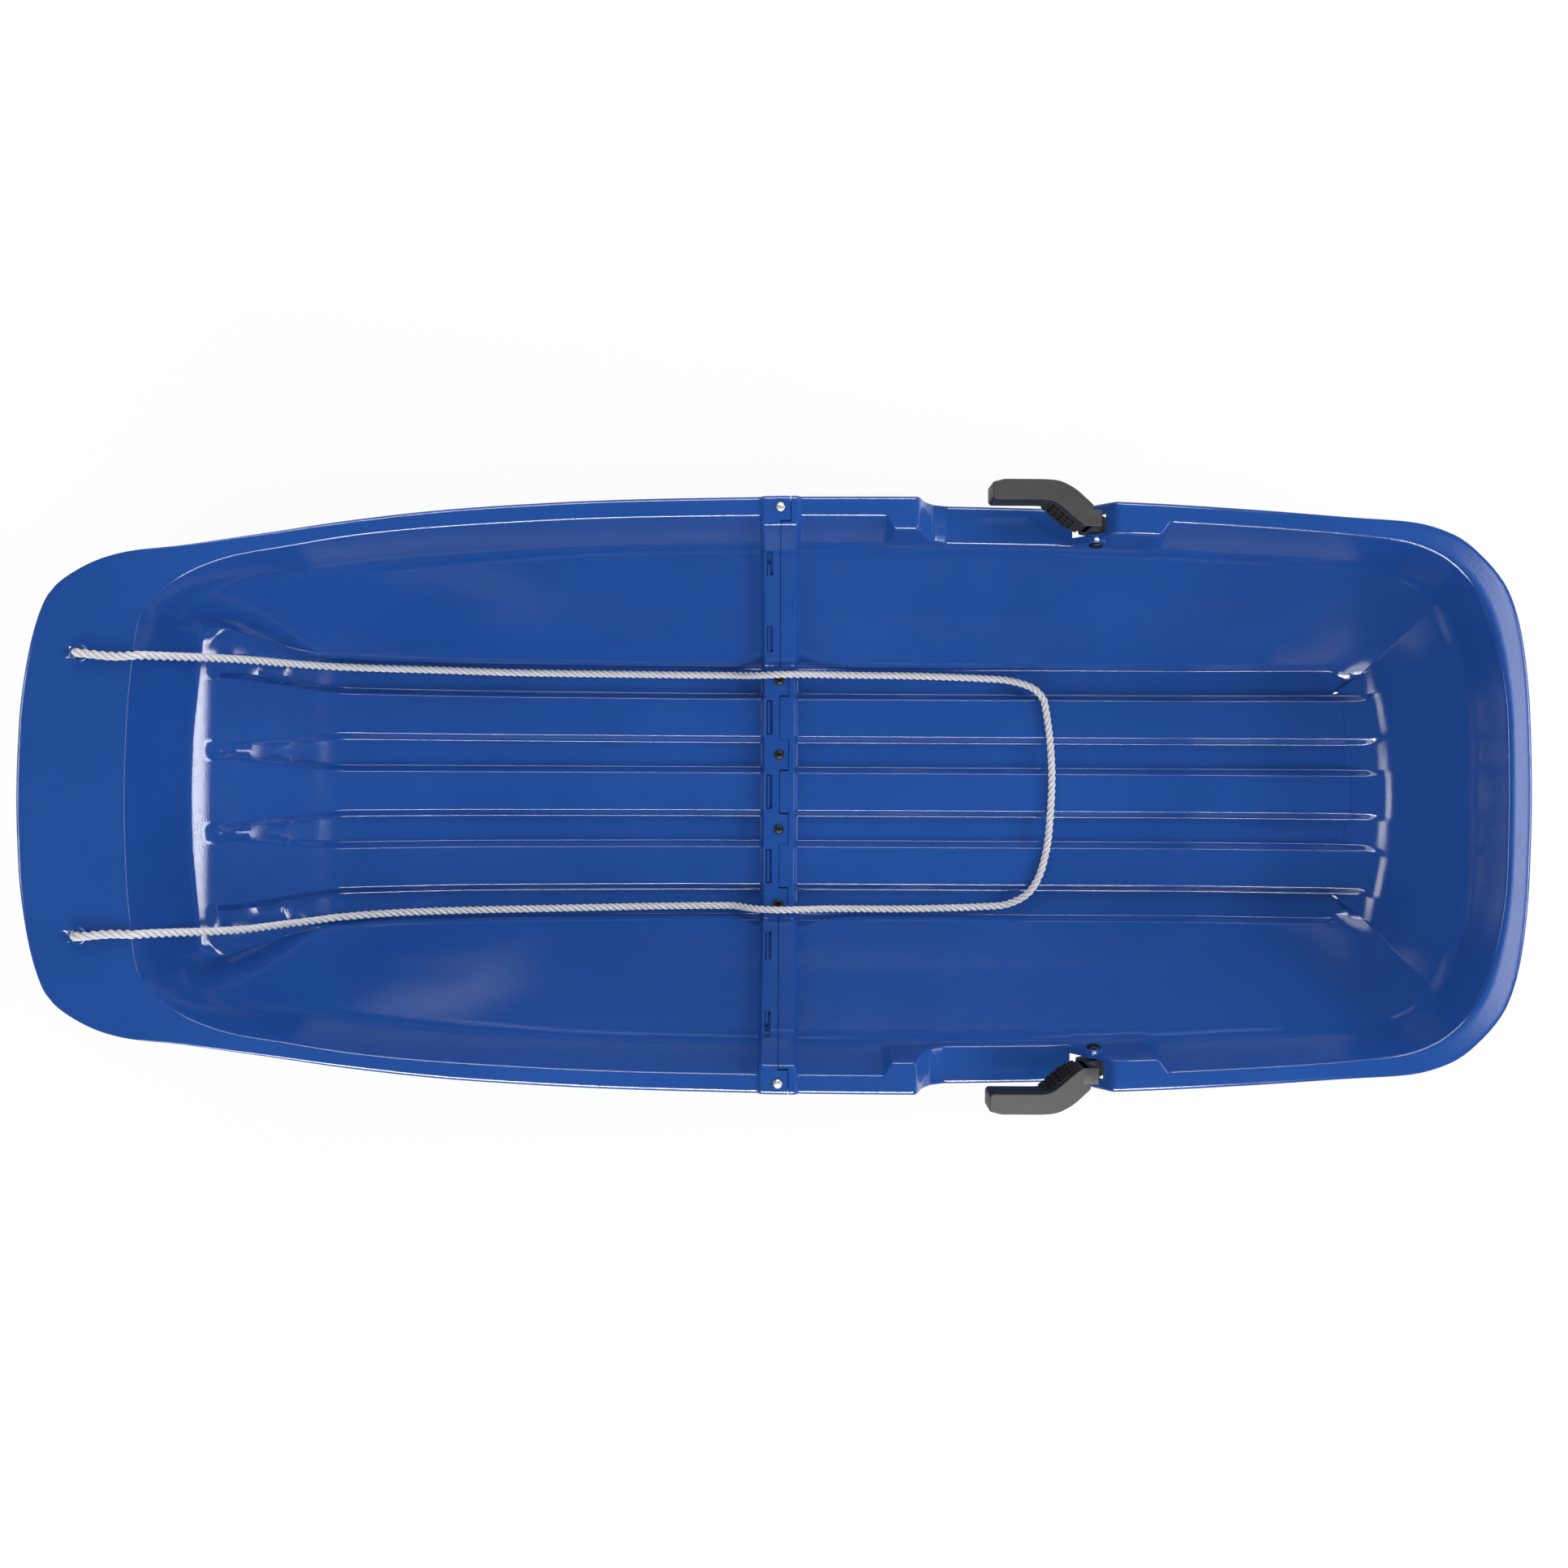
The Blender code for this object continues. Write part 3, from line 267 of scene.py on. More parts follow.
def soft_floor(values, width):
    """The larger of a value and 0, with the corner rounded by a parabola over the width on both sides."""
    bent = (values + width) ** 2 / (4 * width)
    return np.where(values > width, values, np.where(values < -width, 0, bent))


def rounded(points, trims, counts):
    """The corners of a line of points as quadratic Bezier arcs, each trimmed back by a length on both sides.

    points is (corners, many, 3). The first and last points have no arc. An arc has its count + 1 points.
    """
    arcs = []
    for index in range(1, len(points) - 1):
        corner = points[index]
        back, ahead = points[index - 1] - corner, points[index + 1] - corner
        reach_back = np.linalg.norm(back, axis=-1, keepdims=True)
        reach_ahead = np.linalg.norm(ahead, axis=-1, keepdims=True)
        trim = np.broadcast_to(np.asarray(trims[index - 1], float).reshape(-1, 1), reach_back.shape)
        start = corner + back * np.minimum(trim / reach_back, MOST_OF_LINE)
        end = corner + ahead * np.minimum(trim / reach_ahead, MOST_OF_LINE)
        count = counts[index - 1]
        steps = [step / count for step in range(count + 1)]
        arcs.append([start * (1 - t) ** 2 + corner * 2 * t * (1 - t) + end * t**2 for t in steps])
    return arcs


def full_turn(steps):
    """Even angles once round."""
    return np.arange(steps) / steps * 2 * math.pi


def quads(rows, columns):
    """The faces of a grid of rows by columns of points."""
    first = (np.arange(rows - 1)[:, None] * columns + np.arange(columns - 1)).ravel()
    return np.stack([first, first + 1, first + columns + 1, first + columns], axis=1)


def ring_faces(count, steps, wrap=False):
    """The faces between each ring of points and the next, and from the last to the first where they wrap."""
    step = np.arange(steps)
    after = (step + 1) % steps
    first = np.arange(count if wrap else count - 1)[:, None] * steps
    second = (first + steps) % (count * steps)
    return np.stack([first + step, first + after, second + after, second + step], axis=-1).reshape(-1, 4)


def mesh_piece(name, vertices, faces, material, angle=35):
    """A smooth-shaded mesh of points and faces, sharp where its faces meet at more than an angle."""
    mesh = bpy.data.meshes.new(name)
    mesh.from_pydata(np.asarray(vertices).tolist(), [], [list(map(int, face)) for face in faces])
    mesh.validate()
    mesh.shade_smooth()
    mesh.set_sharp_from_angle(angle=math.radians(angle))
    mesh.materials.append(material)
    piece = bpy.data.objects.new(name, mesh)
    bpy.context.scene.collection.objects.link(piece)
    return piece


def welded(vertices, faces):
    """Points within a thousandth of a millimetre made one: the first of each, and the faces that use them."""
    keys = np.round(vertices * 1e6).astype(np.int64)
    _, first, index = np.unique(keys, axis=0, return_index=True, return_inverse=True)
    return first, index.reshape(-1)[faces]


def closed_wall(name, top, bottom, faces, material):
    """A wall between an upper and a lower surface of the same grid, closed by a strip along every border.

    A border is an edge that only one face has. Faces with fewer than three corners are left out.
    """
    first, faces = welded(top, faces)
    top, bottom = top[first], bottom[first]
    distinct = (np.diff(np.sort(faces, axis=1), axis=1) > 0).sum(axis=1) + 1
    faces = faces[distinct >= 3]
    edges = np.concatenate([faces[:, [k, (k + 1) % 4]] for k in range(4)])
    edges = edges[edges[:, 0] != edges[:, 1]]
    keys = np.sort(edges, axis=1)
    _, index, count = np.unique(keys, axis=0, return_inverse=True, return_counts=True)
    border = edges[count[index.reshape(-1)] == 1]
    size = len(top)
    strip = np.stack([border[:, 1], border[:, 0], border[:, 0] + size, border[:, 1] + size], axis=1)
    every = np.concatenate([faces, faces[:, ::-1] + size, strip]).tolist()
    every = [list(dict.fromkeys(face)) for face in every]
    return mesh_piece(name, np.concatenate([top, bottom]), every, material, 40)


def closed_rings(rings, start):
    """Faces between closed rings of points, and one cap at each end, for points numbered from a start."""
    count = len(rings[0])
    faces = (start + ring_faces(len(rings), count)).tolist()
    faces.append(list(range(start + count - 1, start - 1, -1)))
    last = start + (len(rings) - 1) * count
    faces.append(list(range(last, last + count)))
    return faces


def outward(piece):
    """Turns the faces of each closed body outwards."""
    shape = bmesh.new()
    shape.from_mesh(piece.data)
    bmesh.ops.recalc_face_normals(shape, faces=shape.faces)
    shape.to_mesh(piece.data)
    shape.free()


def solid_of(name, parts, material, angle):
    """One mesh of several closed lofts, each a list of rings, with flat caps."""
    vertices, faces = [], []
    for rings in parts:
        faces += closed_rings(rings, sum(len(v) for v in vertices))
        vertices.append(np.concatenate(rings))
    piece = mesh_piece(name, np.concatenate(vertices), faces, material, angle)
    outward(piece)
    for face in piece.data.polygons:
        face.use_smooth = len(face.vertices) == 4
    return piece


# Finishes

def linear(code):
    """The linear colour of an sRGB hex code."""
    channels = [int(code[start:start + 2], 16) / 255 for start in (1, 3, 5)]
    return tuple(c / 12.92 if c <= 0.04045 else ((c + 0.055) / 1.055) ** 2.4 for c in channels) + (1.0,)


def fill(material, made, values):
    """Sets a node's inputs: a link where the value is another node's output, else the value itself."""
    for key, value in values.items():
        if isinstance(value, bpy.types.NodeSocket):
            material.node_tree.links.new(value, made.inputs[key])
        else:
            made.inputs[key].default_value = value


def node(material, kind, values=None, **settings):
    """Adds a shader node with its settings and its inputs' values and links."""
    made = material.node_tree.nodes.new(kind)
    for key, value in settings.items():
        setattr(made, key, value)
    fill(material, made, values or {})
    return made


def finish(name, **values):
    """A new material and its shader, with values that are the same all over."""
    made = bpy.data.materials.new(name)
    made.use_nodes = True
    shader = made.node_tree.nodes["Principled BSDF"]
    fill(made, shader, {key.replace("_", " "): value for key, value in values.items()})
    return made, shader


def mottled_finish(name, noises, tones, tone_range, rough_range, relief, **values):
    """A material whose colour, roughness and height follow noises on Object coordinates.

    noises are (lumps per metre, detail): the colour's, the roughness's, and the heights', which add up. The
    colour goes from one tone to the other over the tone range of its noise, and the roughness over its own
    range while its noise goes from 0.3 to 0.7. relief is the height of the lumps in metres.
    """
    made, shader = finish(name, **values)
    place = node(made, "ShaderNodeTexCoord").outputs["Object"]
    tone, haze, height, *more = (
        node(made, "ShaderNodeTexNoise", {"Vector": place, "Scale": scale, "Detail": detail}).outputs["Fac"]
        for scale, detail in noises
    )
    low, high = tone_range
    share = node(made, "ShaderNodeMapRange", {"Value": tone, "From Min": low, "From Max": high})
    first, second = map(linear, tones)
    colour = node(
        made, "ShaderNodeMix", {"Factor": share.outputs["Result"], "A": first, "B": second}, data_type="RGBA",
    )
    fill(made, shader, {"Base Color": colour.outputs["Result"]})
    if rough_range:
        low, high = rough_range
        ends = {"From Min": 0.3, "From Max": 0.7, "To Min": low, "To Max": high}
        rough = node(made, "ShaderNodeMapRange", {"Value": haze, **ends})
        fill(made, shader, {"Roughness": rough.outputs["Result"]})
    for other in more:
        height = node(made, "ShaderNodeMath", {0: height, 1: other}, operation="ADD").outputs[0]
    bump = node(made, "ShaderNodeBump", {"Height": height, "Distance": relief})
    fill(made, shader, {"Normal": bump.outputs["Normal"]})
    return made


# Injection-moulded polyethylene, glossy. Waves of 36 mm and pits of 1 mm make the reflections run a little
# unevenly, as on thin moulded walls, over a flow mottle of 140 mm that is hardly darker.
BLUE = mottled_finish(
    "glossy_moulded_blue_polyethylene", ((7, 2.0), (60, 3.0), (28, 1.0), (900, 2.0)),
    ("#1F4991", "#224D98"), (0.35, 0.65), (0.09, 0.13), 0.00006, Roughness=0.11,
)
# Moulded glass-filled nylon. Its spark-eroded grain of 0.6 mm takes the gloss away: a soft matt grey.
CHARCOAL = mottled_finish(
    "matt_charcoal_moulded_nylon", ((40, 2.0), (1600, 3.0), (1600, 3.0)),
    ("#18191B", "#202124"), (0.3, 0.7), (0.45, 0.62), 0.00012, Roughness=0.55,
)
# Turned screw steel with black oxide: dark and half dull, with lighter worn flecks of 1.4 mm.
BLACK = mottled_finish(
    "black_oxide_steel", ((700, 3.0), (700, 3.0), (700, 3.0)),
    ("#17191A", "#2B2D2D"), (0.45, 0.75), None, 0.00005, Roughness=0.38, Metallic=0.6,
)
# Steel with bright zinc: a light, slightly cloudy metal, with marks of 2 mm from rolling.
BRIGHT = mottled_finish(
    "bright_zinc_plated_steel", ((500, 3.0), (500, 3.0), (500, 3.0)),
    ("#A4A5A5", "#BDBDBB"), (0.3, 0.7), (0.36, 0.46), 0.00004, Roughness=0.4, Metallic=1.0,
)


def laid_fibre():
    """White laid polypropylene: soft white threads along each strand, and painted shade that greys the
    valleys between strands.

    The threads are bands across the rope's UV, about three to each of its nine units round a strand, so that
    they are about 0.2 mm wide. The attribute for the painted shade is 1 where two strands meet.
    """
    made, shader = finish(
        "white_laid_polypropylene_fibre", Roughness=0.62, Sheen_Weight=0.25, Sheen_Roughness=0.4,
    )
    place = node(made, "ShaderNodeTexCoord")
    along = {"Vector": place.outputs["UV"], "Scale": 1.0, "Distortion": 1.2}
    threads = node(made, "ShaderNodeTexWave", along, bands_direction="X").outputs["Fac"]
    dust = node(made, "ShaderNodeTexNoise", {"Vector": place.outputs["Object"], "Scale": 260, "Detail": 3.0})
    both = node(made, "ShaderNodeMath", {0: threads, 1: dust.outputs["Fac"]}, operation="MULTIPLY")
    share = node(made, "ShaderNodeMapRange", {"Value": both.outputs[0], "From Min": 0.1, "From Max": 0.5})
    tones = {"Factor": share.outputs["Result"], "A": linear("#E6E4E8"), "B": linear("#FAF9FB")}
    white = node(made, "ShaderNodeMix", tones, data_type="RGBA").outputs["Result"]
    # Painted shade: the colour goes to grey #AFACB4 in the valleys between strands, where shade falls.
    valley_shade = node(made, "ShaderNodeAttribute", attribute_name="valley_shade").outputs["Fac"]
    tones = {"Factor": valley_shade, "A": white, "B": linear("#AFACB4")}
    colour = node(made, "ShaderNodeMix", tones, data_type="RGBA").outputs["Result"]
    bump = node(made, "ShaderNodeBump", {"Height": threads, "Distance": 0.00018, "Strength": 0.7})
    fill(made, shader, {"Base Color": colour, "Normal": bump.outputs["Normal"]})
    return made


FIBRE = laid_fibre()


# Shells

# Distances from the middle of a groove to the floor's points, close together at its edges
GROOVE_OFFSETS = np.array([
    0.0, 0.0055, 0.0085, 0.0108, 0.0118, 0.0125, 0.0132, 0.0145, 0.0148, 0.0160, 0.0168, 0.0175,
    0.0182, 0.0195, 0.0207, 0.0230, 0.0270,
])


def groove_columns():
    """Distances across from the middle of the tub to the floor's points, over the lands and two grooves."""
    near, far = GROOVE_PITCH / 2, GROOVE_PITCH * 1.5
    border = FOOT_HALF - FLOOR_FILLET
    offsets = np.concatenate([-GROOVE_OFFSETS[::-1], GROOVE_OFFSETS[1:]])
    columns = np.concatenate([[0, 0.0045], near + offsets, [GROOVE_PITCH], far + offsets])
    columns = columns[(columns >= 0) & (columns < border - BORDER_CLEAR)]
    return np.unique(np.round(np.append(columns, border), 7))


# Columns of the wall's section: its two slot spans, the first line on the rim's top, and how many there are
LOWER_SPAN, UPPER_SPAN, FLANGE, SECTION = 10, 18, 32, 42


def middle(values):
    """The mean of each two neighbours."""
    return (values[1:] + values[:-1]) / 2


def aside_of_land(y):
    """Distance across from the middle of the nearest land."""
    return np.abs(y - GROOVE_PITCH * np.round(y / GROOVE_PITCH))


def aside_of_groove(y):
    """Distance across from the middle of the nearest groove."""
    return np.abs(np.abs(y) - GROOVE_PITCH * np.where(np.abs(y) > GROOVE_PITCH, 1.5, 0.5))


class Half:
    """One half of the tub as points on a grid: along its sides from the joint, and on round its end.

    A place is a number in the outline tables, from 0 at the joint to 11 at the middle of the end.
    """

    flare = 0.0
    corner_radius = 0.030
    slot_less = 0.0
    tongue_gap = 0.0

    def __init__(self, reach, way, end_height, end_rise, outline, corner, rim, floor, distances, fillets):
        self.reach, self.way, self.end_height, self.end_rise = reach, way, end_height, end_rise
        self.rim_table, self.floor_table = rim, floor
        last = outline[-2]
        self.outline = (*outline, (END_PLACE + 1, last[1], last[2], -last[3], last[4], -last[5]))
        self.corner = corner
        self.floor_fillet, self.end_fillet = fillets
        self.columns = groove_columns()
        self.places = self.side_places(distances)
        self.side_count = len(self.places)
        self.distances = np.append(distances[:self.side_count - 1], FAR)
        ends = self.columns[-2::-1]
        round_end = END_PLACE - (END_PLACE - corner) * ends / self.columns[-1]
        self.ring_places = np.concatenate([self.places, round_end])
        wide = FOOT_HALF + self.flare
        sides = FOOT_HALF + self.flare * ramp(self.places, *FLARE_PLACES)
        spread = FLARE_FROM + (ends - FLARE_FROM) * self.flare_scale(wide)
        self.foot_y = np.concatenate([sides, np.where(ends > FLARE_FROM, spread, ends)])

    def flare_scale(self, border):
        """How many times wider the floor's outer columns lie than on a plain floor, at a border."""
        return (border - FLARE_FROM) / (self.columns[-1] - FLARE_FROM)

    def side_places(self, distances):
        """The place of each distance of the outer rim from the joint, and of the corner last.

        Before the joint the places go on at the pace that they have in the first tenth of the side.
        """
        fine = np.linspace(0, self.corner, 4001)
        run = smooth_table(self.outline, fine)[:, 3] * self.reach
        inside = distances[distances < run[-1] - CORNER_CLEAR]
        tenth = len(fine) // 10
        places = np.where(inside < 0, inside / run[tenth] * fine[tenth], np.interp(inside, run, fine))
        return np.append(places, self.corner)

    def rim(self, share):
        """Height of the rim at a share of the reach."""
        rise = smooth_table(self.rim_table, share)[:, 0]
        return RIM_HEIGHT + (self.end_height - RIM_HEIGHT) * rise

    def floor(self, share):
        """Height of the floor's lands at a share of the reach."""
        rise = smooth_table(self.floor_table, share)[:, 0]
        return FLOOR_TOP + self.end_rise * rise

    def controls(self, places, lower):
        """Corner points of the wall's section at each place, let down square to the wall by a depth.

        The section is foot, bend, shoulder, inner rim, outer rim and skirt, in the upright plane through foot
        and rim.
        """
        foot_x, inner_x, inner_y, outer_x, outer_y = smooth_table(self.outline, np.maximum(places, 0)).T
        distance = np.where(places < 0, places * self.first_step(), 0)

        def point(x_share, y, height):
            x = SEAM_X + self.way * (x_share * self.reach + distance)
            return np.stack([x, y, height], axis=-1)

        foot = point(foot_x, self.foot_y, self.floor(foot_x))
        inner = point(inner_x, inner_y * HALF_WIDTH, self.rim(inner_x))
        outer = point(outer_x, outer_y * HALF_WIDTH, self.rim(outer_x))
        foot = self.eased_foot(foot)
        bend, shoulder = (self.between(foot, inner, shares) for shares in (BEND_SHARES, SHOULDER_SHARES))
        out = outer - foot
        out[:, 2] = 0
        self.shape_platform(outer_x * self.reach + distance, inner, outer)
        skirt = outer - np.array([0, 0, SKIRT_DROP])
        line = np.stack([foot, bend, shoulder, inner, outer, skirt])
        out /= np.linalg.norm(out, axis=-1, keepdims=True)
        return self.let_down(line, out, self.ridge(places), lower)

    def first_step(self):
        """Distance along the rim for one place, at the joint."""
        return self.reach * (self.outline[1][4] - self.outline[0][4])

    def eased_foot(self, foot):
        """The foot line with its corner rounded.

        A point in the corner's square moves towards the square's inner corner, to the round of that radius.
        """
        radius = self.corner_radius
        border_x = np.abs(foot[:, 0] - SEAM_X)
        end_x = border_x[-1] if len(foot) > self.side_count else border_x.max()
        into = np.clip(border_x - (end_x - radius), 0, None)
        aside = np.clip(foot[:, 1] - (FOOT_HALF + self.flare - radius), 0, None)
        both = np.sqrt(into**2 + aside**2)
        push = np.where((into > 0) & (aside > 0), np.maximum(both - radius, 0) / np.maximum(both, 1e-9), 0)
        eased = foot.copy()
        eased[:, 0] -= self.way * into * push
        eased[:, 1] -= aside * push
        return eased

    @staticmethod
    def between(start, end, shares):
        """A line of points at a share of the way across and another share of the way up."""
        across, upward = shares
        made = start + (end - start) * across
        made[:, 2] = start[:, 2] + (end[:, 2] - start[:, 2]) * upward
        return made

    def shape_platform(self, distance, inner, outer):
        """Nothing to shape on a plain rim."""

    def ridge(self, places):
        """1 on the cross ridge, 0 past its slope."""
        distance = smooth_table(self.outline, np.maximum(places, 0))[:, 3] * self.reach
        distance = np.where(places < 0, 0, distance)
        before, past = RIDGE_EASE
        return 1 - ramp(distance, RIDGE_HALF_TOP - before, RIDGE_HALF_TOP + RIDGE_SLOPE + past)

    @staticmethod
    def let_down(line, out, ridge, lower):
        """Moves each corner by a mitre of the two stretches that meet there: up on the ridge, down by depth.

        The mitre is the mean of both normals, as long as the amount over its cosine to either normal.
        """
        up = np.array([0.0, 0.0, 1.0])

        def moved(line, amounts):
            run = ((line[1:] - line[:-1]) * out).sum(axis=-1)
            rise = line[1:, :, 2] - line[:-1, :, 2]
            length = np.hypot(run, rise)
            normals = (-out * (rise / length)[..., None]) + up * (run / length)[..., None]
            floor = np.broadcast_to(up, normals[:1].shape)
            normals = np.concatenate([floor, normals])
            made = line.copy()
            for index in range(len(line)):
                first = normals[index]
                after = normals[index + 1] if index + 1 < len(normals) else first
                middle = first + after
                middle /= np.linalg.norm(middle, axis=-1, keepdims=True)
                made[index] += middle * (amounts[index] / (middle * first).sum(axis=-1))[:, None]
            return made

        raised = moved(line, [ridge * RIDGE_RISE] * 3 + [ridge * 0] * 3)
        raised[3] += up * (ridge * RIM_RIDGE_RISE)[:, None] - out * (ridge * RIDGE_RISE)[:, None]
        raised[4:] += up * (ridge * RIM_RIDGE_RISE)[:, None]
        if lower:
            foot_to_skirt = moved(raised, [np.full(line.shape[1], -lower)] * 6)
            foot_to_skirt[5] = raised[5] - out * lower
            return foot_to_skirt
        return raised

    def floor_heights(self, x, y, ridge, lower):
        """The floor's height: its rise, less the grooves' depth times a share across, and flat on the ridge.

        The share goes from 0 at the mouth to 1 at the bottom in a straight line with rounded ends.
        """
        distance = np.abs(x - SEAM_X)
        base = self.floor(distance.ravel() / self.reach).reshape(x.shape)
        mouth, bottom, depth = self.groove_sizes(distance)
        slope = math.atan2(GROOVE_DEPTH, GROOVE_SIDE)
        share = (mouth + lower * math.tan(slope / 2) - aside_of_groove(y)) / (mouth - bottom)
        sunk = soft_floor(share, GROOVE_EDGE) - soft_floor(share - 1, GROOVE_EDGE)
        plain = base - depth * sunk
        return plain + (FLOOR_TOP + RIDGE_RISE - plain) * ridge - lower

    def surface(self, lower):
        """Points of the floor (rows, columns) and of the wall (ring, section) under the visible surface."""
        line = self.controls(self.ring_places, lower)
        sides = self.side_count
        foot = line[0]
        plan = np.gradient(foot[:, :2], axis=0)
        normal = np.stack([-plan[:, 1], plan[:, 0]], axis=1)
        normal /= np.linalg.norm(normal, axis=1, keepdims=True)
        straight = self.ring_places < self.corner - 3
        normal[straight] = (0, 1)
        normal *= np.sign((normal * (foot[:, :2] - (SEAM_X, 0))).sum(axis=1))[:, None]
        trim = self.floor_fillet + (self.end_fillet - self.floor_fillet) * self.end_share()
        border = foot[:, :2] - normal * trim[:, None]
        border[-1, 1] = 0
        side, end = border[:sides], border[sides - 1:]

        # The floor's rows run straight across near the joint and bend to the end's outline towards the end
        weight = ((np.abs(side[:, 0] - SEAM_X) / np.abs(side[-1, 0] - SEAM_X)) ** 6)[:, None]
        columns = self.columns
        x = side[:, 0][:, None] + weight * (end[::-1, 0][None, :] - side[-1, 0])
        spread_out = (columns - FLARE_FROM)[None, :] * self.flare_scale(side[:, 1])[:, None]
        y = np.where(columns > FLARE_FROM, FLARE_FROM + spread_out, columns)
        ridge = np.broadcast_to(self.ridge(self.ring_places)[:sides, None], x.shape)
        patch = np.stack([x, y, self.floor_heights(x, y, ridge, lower)], axis=-1)

        start = np.concatenate([patch[:, -1], patch[-1, ::-1][1:]])
        corners = np.concatenate([start[None], line])
        trims = (trim, BEND_TRIM, BEND_TRIM, self.rim_trim(), OUTER_EDGE_TRIM)
        arcs = rounded(corners, trims, ARC_STEPS)
        section = [start, *arcs[0], *self.span(line[0], line[1], LOWER_SLOT), *arcs[1]]
        section += [*self.span(line[1], line[2], UPPER_SLOT), *arcs[2], *arcs[3]]
        section += [*self.flange_points(line[3], line[4]), *arcs[4], line[5]]
        return patch, np.stack(section, axis=1)

    def span(self, start, end, slot):
        """Two points of a straight stretch: the ends of the slot in it."""
        centre, half = slot
        share = half - self.slot_less / np.linalg.norm(end - start, axis=1, keepdims=True)
        return start + (end - start) * (centre - share), start + (end - start) * (centre + share)

    def rim_trim(self):
        """How far the rim's inner edge is rounded, at each place of the ring."""
        return FRONT_EDGE_TRIM - EDGE_TRIM_LESS * self.end_share()

    def ring_distances(self):
        """Distances from the joint round the ring, far past every cut once it turns round the end."""
        beyond = np.full(len(self.ring_places) - self.side_count, FAR)
        return np.concatenate([self.distances, beyond])

    def flange_points(self, inner, outer):
        """Two lines along the rim's top, at shares of its width.

        By the joint the first one follows the edge of the rim's tongue.
        """
        distance = self.ring_distances()
        span = np.maximum(np.abs(outer[:, 1] - inner[:, 1]), LEAST_RIM)
        near = distance < RIDGE_HALF_TOP
        edge = (HALF_WIDTH - RIM_TONGUE_WIDTH - self.tongue_gap - inner[:, 1]) / span
        first = np.where(near, edge, 0.3)
        second = np.full_like(first, 0.7)
        return [inner + (outer - inner) * share[:, None] for share in (first, second)]

    def end_share(self):
        """0 along the sides, 1 round the end, with a smooth change through the corner."""
        return ramp(self.ring_places, self.corner - 2.0, self.corner + 0.2)

    def kept_faces(self, patch):
        """Which faces of the floor and of the wall there are: all, where no slot or seam leaves one out."""
        rows, columns = patch.shape[:2]
        return np.ones((rows - 1, columns - 1), bool), np.ones((len(self.ring_places) - 1, SECTION - 1), bool)

    def lap(self, patch):
        """How far each floor point and wall point is let down under the other half: nowhere."""
        return None


class FrontHalf(Half):
    """The nose half: grooves that end in narrow blunt tips, a flared toe, tongues and slots at the joint."""

    flare = TOE_FLARE

    def groove_sizes(self, distance):
        """Half width of the mouth, half width of the bottom, and depth, at distances from the joint."""
        t = ramp(distance, GROOVE_FULL, GROOVE_TIP)
        mouth = GROOVE_MOUTH / 2 - TIP_NARROWING * t
        end = 1 - ramp(distance, GROOVE_TIP - TIP_RUN, GROOVE_TIP)
        depth = GROOVE_DEPTH * end * (1 - TIP_SHALLOWING * t)
        return mouth, mouth - GROOVE_SIDE + TIP_STEEPER * t, depth

    def kept_faces(self, patch):
        floor, wall = super().kept_faces(patch)
        run = middle(self.distances)[:, None]
        y = middle(patch[0, :, 1])[None, :]
        in_slot = (run > SLOT_NEAR) & (run < SLOT_FAR)
        floor &= ~((run < 0) & (aside_of_groove(y) > TONGUE_HALF))
        floor &= ~(in_slot & (aside_of_land(y) < LAND_SLOT_HALF))
        run = middle(self.ring_distances())[:, None]
        column = np.arange(SECTION - 1)[None, :]
        in_slot = (run > SLOT_NEAR) & (run < SLOT_FAR)
        wall &= ~((run < 0) & (column < FLANGE))
        over_shoulder = (column >= UPPER_SPAN) & (column < UPPER_SPAN + 6)
        wall &= ~(in_slot & ((column == LOWER_SPAN) | over_shoulder))
        return floor, wall


